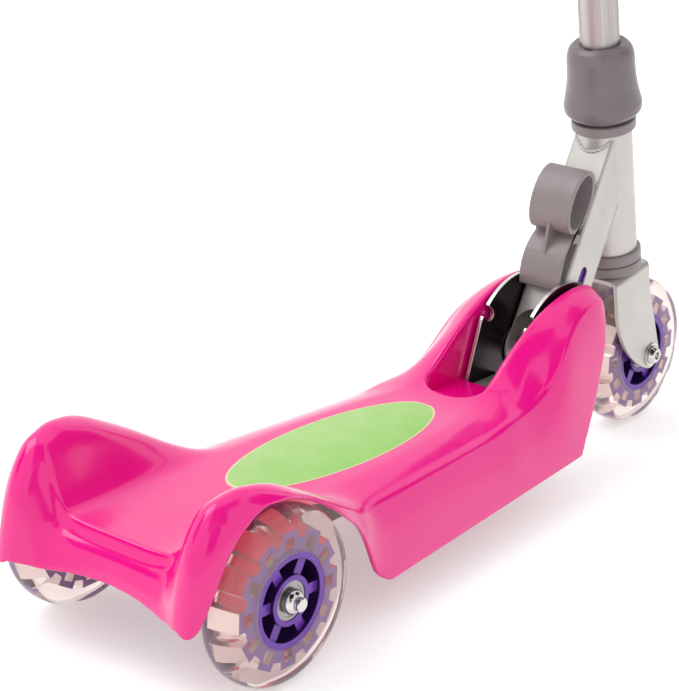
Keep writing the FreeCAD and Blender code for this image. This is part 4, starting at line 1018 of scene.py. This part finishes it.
def makeWheel(name, side):
    # the tyre's outline turned round the axle, and softened copies of the hub and its bearings
    middle = boxCorners(name + "_core").mean(0)
    profile = tyreProfile(tyreValues)
    points, _ = turnedSurface(profile, tyreValues["around"])
    faces = gridFaces(len(profile), tyreValues["around"], closeRows=True, closeColumns=True)
    mesh = finished(makeMesh(side + "Tyre", placed(points, alongY(*middle)), faces), sharpDegrees=50)
    addPiece(mesh, name, tyreMaterial, [name + "_tyre"])
    core = softened(side + "Hub", name + "_core", hubMaterial, 0.35).data
    away = meshPoints(core) - middle
    markPoints(core, "hubRadius", np.hypot(away[:, 0], away[:, 2]))
    softened(side + "Bearings", name + "_bearings", turnedSteel, 0.15)


for wheelName, wheelPiece in (("front_wheel", "frontWheel"), ("rear_wheel_left", "leftWheel"),
                              ("rear_wheel_right", "rightWheel")):
    makeWheel(wheelName, wheelPiece)

print("scooter: wheels made")


# Pieces that keep the CAD node's shape, with their edges rounded

softPieces = [
    ("boxRail", "main_rail", railCoat, 0.5), ("railPlug", "rail_end_cap", blackPlug, 0.5),
    ("leftPlate", "hinge_plate_left", plateMaterial, 0.45), ("rightPlate", "hinge_plate_right", plateMaterial, 0.45),
    ("pivotBolt", "pivot_bolt", brightPlate, 0.35), ("pivotNut", "pivot_nut", brightPlate, 0.4),
    ("rearAxle", "rear_axle", brightPlate, 0.2), ("axleNuts", "axle_push_nuts", brightPlate, 0.25),
    ("stemTube", "stem_tube", silverCoat, 0.3), ("headTube", "head_tube", silverCoat, 0.4),
    ("lowerCup", "lower_cup", greyNylon, 0.4), ("upperCup", "upper_cup", greyNylon, 0.4),
    ("latchLever", "latch_lever", greyNylon, 0.55), ("latchSlider", "latch_slider", purpleNylon, 0.4),
    ("forkBlades", "fork", silverCoat, 0.5), ("lowerRace", "lower_race", greyNylon, 0.4),
    ("dustWasher", "dust_washer", bellVinyl, 0.4),
    ("columnTube", "column_tube", drawnAluminium, 0.3), ("barTube", "handlebar", barAluminium, 0.3),
    ("leftGrip", "grip_left", gripRubber, 0.5), ("rightGrip", "grip_right", gripRubber, 0.5),
    ("barEnds", "bar_ends", gripRubber, 0.6), ("frontBolt", "front_bolt", brightPlate, 0.3),
    ("frontNut", "front_nut", brightPlate, 0.35), ("frontWashers", "front_washers", brightPlate, 0.2),
]
for pieceName, nodeName, pieceMaterial, edgeWidth in softPieces:
    softened(pieceName, nodeName, pieceMaterial, edgeWidth)

bellValues = {
    "outline": [(22.4, 0), (24.6, 3), (25, 6.5), (24, 12), (22.6, 20), (21.8, 28), (21.5, 38.5), (19.9, 44.5),
                (16.9, 47.5)],   # radius, height
    "wall": 3.0,
    "bore": 12.75,
    "lip": 5.0,                  # how deep the bore holds the column
    "slot": (3.0, 1.4),          # half its width, and its depth into the lip
    "around": 120,
}


def bellMesh(values):
    # the outline, the top, the bore and the wall's inside turned round the column's axis; the bore steps out at the
    # slot, and the CAD node's lowest point gives the foot
    low = ((meshPoints(frame["nodes"]["stem_bell"].data) - onColumn[:3, 3]) @ onColumn[:3, 2]).min()
    outline = np.array(values["outline"], float)
    knots = np.concatenate([[0], np.cumsum(np.linalg.norm(np.diff(outline, axis=0), axis=1))])
    outer = curveThrough(knots[:, None], outline, [6] * (len(outline) - 1))
    top, bore = outline[-1, 1], values["bore"]
    inner = outer[::-1] - np.array([values["wall"], 0])
    inner = inner[inner[:, 1] < top - values["lip"] - 1]
    lip = [(bore + 0.8, top), (bore + 0.2, top - 0.2), (bore, top - 0.8), (bore, top - values["lip"])]
    profile = np.concatenate([outer, lip, inner])
    around = values["around"]
    points = turnedSurface(profile, around)[0].reshape(len(profile), around, 3)
    half, depth = values["slot"]
    held = points[len(outer):len(outer) + len(lip)]
    held[..., 0] -= depth * ((np.abs(held[..., 1]) < half) & (held[..., 0] < 0))
    points = placed(points.reshape(-1, 3) + np.array([0, 0, low]), onColumn)
    faces = gridFaces(len(profile), around, closeRows=True, closeColumns=True)
    return finished(makeMesh("stemBell", points, faces))


addPiece(bellMesh(bellValues), "steering", bellVinyl, ["stem_bell"])

# The weld's curve is given by the head tube's radius, the stem's half depth and half the curve's width

beadValues = {"tube": 18.0, "face": 16.0, "half": 13.5, "radius": 1.25, "ripple": 0.16, "ripples": 11, "count": 140,
              "around": 16}


def weldBead(values):
    # the curve where the head tube's wall meets the stem's upper face, and round it a bead whose radius ripples with
    # the sine of its place and shrinks to nothing at both ends
    share = np.linspace(-1, 1, values["count"])
    y = values["half"] * share
    back = -np.sqrt(values["tube"] ** 2 - y ** 2)
    wall = placed(np.stack([back, y, 0 * y], 1), onColumn)
    rise = (-values["face"] - (wall - foldPivot) @ onStem[:3, 0]) / (onColumn[:3, 2] @ onStem[:3, 0])
    path = wall + rise[:, None] * onColumn[:3, 2]
    along = np.gradient(path, axis=0)
    along /= np.linalg.norm(along, axis=1)[:, None]
    outward = np.cross(along, onStem[:3, 0])
    outward /= np.linalg.norm(outward, axis=1)[:, None]
    other = np.cross(along, outward)
    radius = values["radius"] * np.sqrt(1 - share ** 2) ** 0.4
    radius = radius * (1 + values["ripple"] * np.sin(math.pi * values["ripples"] * share))
    angle = np.linspace(0, 2 * math.pi, values["around"], endpoint=False)
    ring = np.cos(angle)[None, :, None] * outward[:, None] + np.sin(angle)[None, :, None] * other[:, None]
    points = path[:, None] + radius[:, None, None] * ring
    faces = gridFaces(values["count"], values["around"], closeColumns=True)
    return finished(makeMesh("headTubeWeld", points.reshape(-1, 3), faces))


addPiece(weldBead(beadValues), "stem", silverCoat)

# Hidden or tiny CAD nodes stay as they are and only take a material

innerNodes = {
    "axle_tube": turnedSteel, "deck_screws": turnedSteel, "pivot_bush": turnedSteel, "spring_stop": silverCoat,
    "latch_pin": turnedSteel, "latch_spring": turnedSteel, "steerer": turnedSteel, "cross_pin": turnedSteel,
    "front_spacers": turnedSteel, "front_wheel_spacer": turnedSteel, "rear_wheel_left_spacer": turnedSteel,
    "rear_wheel_right_spacer": turnedSteel,
}
for nodeName, nodeMaterial in innerNodes.items():
    node = frame["nodes"][nodeName]
    node.data.materials.clear()
    node.data.materials.append(nodeMaterial)

print("scooter: metal and nylon pieces finished")


# Floor, world, lamps and camera

floorValues = {"size": 9.0, "drop": 0.0002, "colour": "F2F2F2", "shade": "F5F5F4", "fibreMm": 3.0, "glow": 0.35}


def paleFloor(values):
    # Matt white paper: a glow that only the eye, mirrors and glass see keeps it white round the shadow
    material, add = newMaterial("mattWhitePaper")
    place = add("TexCoord")
    fibre = add("TexNoise", {"Scale": perMillimetre(values["fibreMm"]), "Detail": 3.0},
                {"Vector": (place, "Object")})
    tone = add("Mix", {"data_type": "RGBA", 6: linear(values["colour"]),
                       7: linear(values["shade"])}, {0: (fibre, "Fac")})
    glow = add("Math", {"operation": "MULTIPLY", 1: values["glow"]}, {0: (seenOrMirrored(add), "Value")})
    return surfaced(material, add, {"Roughness": 0.9, "Specular IOR Level": 0.0, "Emission Color": (1, 1, 1, 1)},
                    {"Base Color": (tone, 2), "Emission Strength": (glow, "Value")})


def stageSheet(name, size, turn, material):
    # a square about a place, with a turn of its own
    corners = [turn @ Vector((x * size / 2, y * size / 2, 0)) for x, y in ((-1, -1), (1, -1), (1, 1), (-1, 1))]
    mesh = bpy.data.meshes.new(name)
    mesh.from_pydata(corners, [], [(0, 1, 2, 3)])
    mesh.materials.append(material)
    sheet = linked(name, mesh)
    return sheet


stageSheet("floor", floorValues["size"], Matrix.Translation((0, 0, -floorValues["drop"])), paleFloor(floorValues))

lightValues = {
    "world": 0.92,               # what the room gives to matt surfaces
    "key": {"place": (-0.9, 1.0, 2.1), "aim": (0.0, 0.0, 0.1), "size": 1.6, "watts": 20.0},
    "fill": {"place": (-1.6, -1.7, 1.5), "aim": (0.0, 0.0, 0.15), "size": 1.2, "watts": 1.5},
}


def studioWorld(strength):
    # white where the eye, mirrors and glass look at it, and a plain level of light elsewhere
    world, add = emptied(bpy.data.worlds.new("studio"))
    level = add("MapRange", {"To Min": strength, "To Max": 1.0}, {"Value": (seenOrMirrored(add), "Value")})
    shade = add("Background", {"Color": (1, 1, 1, 1)}, {"Strength": (level, "Result")})
    add("OutputWorld", {}, {"Surface": (shade, "Background")})
    bpy.context.scene.world = world


def aimed(values):
    place, aim = Vector(values["place"]), Vector(values["aim"])
    return Matrix.Translation(place) @ (aim - place).to_track_quat("-Z", "Y").to_matrix().to_4x4()


def softbox(name, values):
    lamp = bpy.data.lights.new(name, "AREA")
    lamp.shape = "SQUARE"
    lamp.size = values["size"]
    lamp.energy = values["watts"]
    linked(name, lamp).matrix_world = aimed(values)


def darkCard(name, values):
    # a black flag that only mirrors see: it gives polished surfaces something dark to show
    card = stageSheet(name, values["size"], aimed(values), blackFelt)
    card.visible_camera = False
    card.visible_diffuse = False
    card.visible_transmission = False
    card.visible_shadow = False


studioWorld(lightValues["world"])
for lampName in ("key", "fill"):
    softbox(lampName, lightValues[lampName])
blackFelt = solidFinish("blackFelt", {"colour": "1E1A1C", "shade": "262224", "driftMm": 40.0, "grainMm": 2.0,
                                      "bump": 0.3, "roughness": (0.9, 1.0), "shader": {"Specular IOR Level": 0.0}})
cardValues = {
    "overCard": {"place": (-0.9, -1.3, 2.1), "aim": (0, 0, 0.1), "size": 2.3},
    "farCard": {"place": (-1.6, 1.5, 1.15), "aim": (0, 0, 0.1), "size": 0.9},
    "leftCard": {"place": (-1.45, -1.65, 0.79), "aim": (-0.26, 0.07, 0.09), "size": 0.8},
    "nearCard": {"place": (0.72, -0.76, 0.86), "aim": (-0.25, 0.06, 0.1), "size": 0.9},
}
for cardName, cardPlace in cardValues.items():
    darkCard(cardName, cardPlace)

cameraValues = {"place": (-1.0382, -0.77904, 0.57779), "heading": 39.08, "pitch": -19.77, "roll": 1.467,
                "lens": 119.96}


def makeCamera(values):
    # the view direction from its heading and pitch, and the frame turned about it by the roll
    heading, pitch, roll = (math.radians(values[name]) for name in ("heading", "pitch", "roll"))
    ahead = Vector((math.cos(pitch) * math.cos(heading), math.cos(pitch) * math.sin(heading), math.sin(pitch)))
    right = ahead.cross(Vector((0, 0, 1))).normalized()
    up = right.cross(ahead)
    tiltedRight = right * math.cos(roll) + up * math.sin(roll)
    tiltedUp = up * math.cos(roll) - right * math.sin(roll)
    data = bpy.data.cameras.new("camera")
    data.lens = values["lens"]
    data.sensor_width = 36.0
    data.clip_start, data.clip_end = 0.01, 50.0
    camera = linked("camera", data)
    turn = Matrix((tiltedRight, tiltedUp, -ahead)).transposed().to_4x4()
    camera.matrix_world = Matrix.Translation(values["place"]) @ turn
    bpy.context.scene.camera = camera


makeCamera(cameraValues)
bpy.context.scene.view_settings.view_transform = "Standard"

print("scooter: stage lit")

bpy.context.view_layer.update()
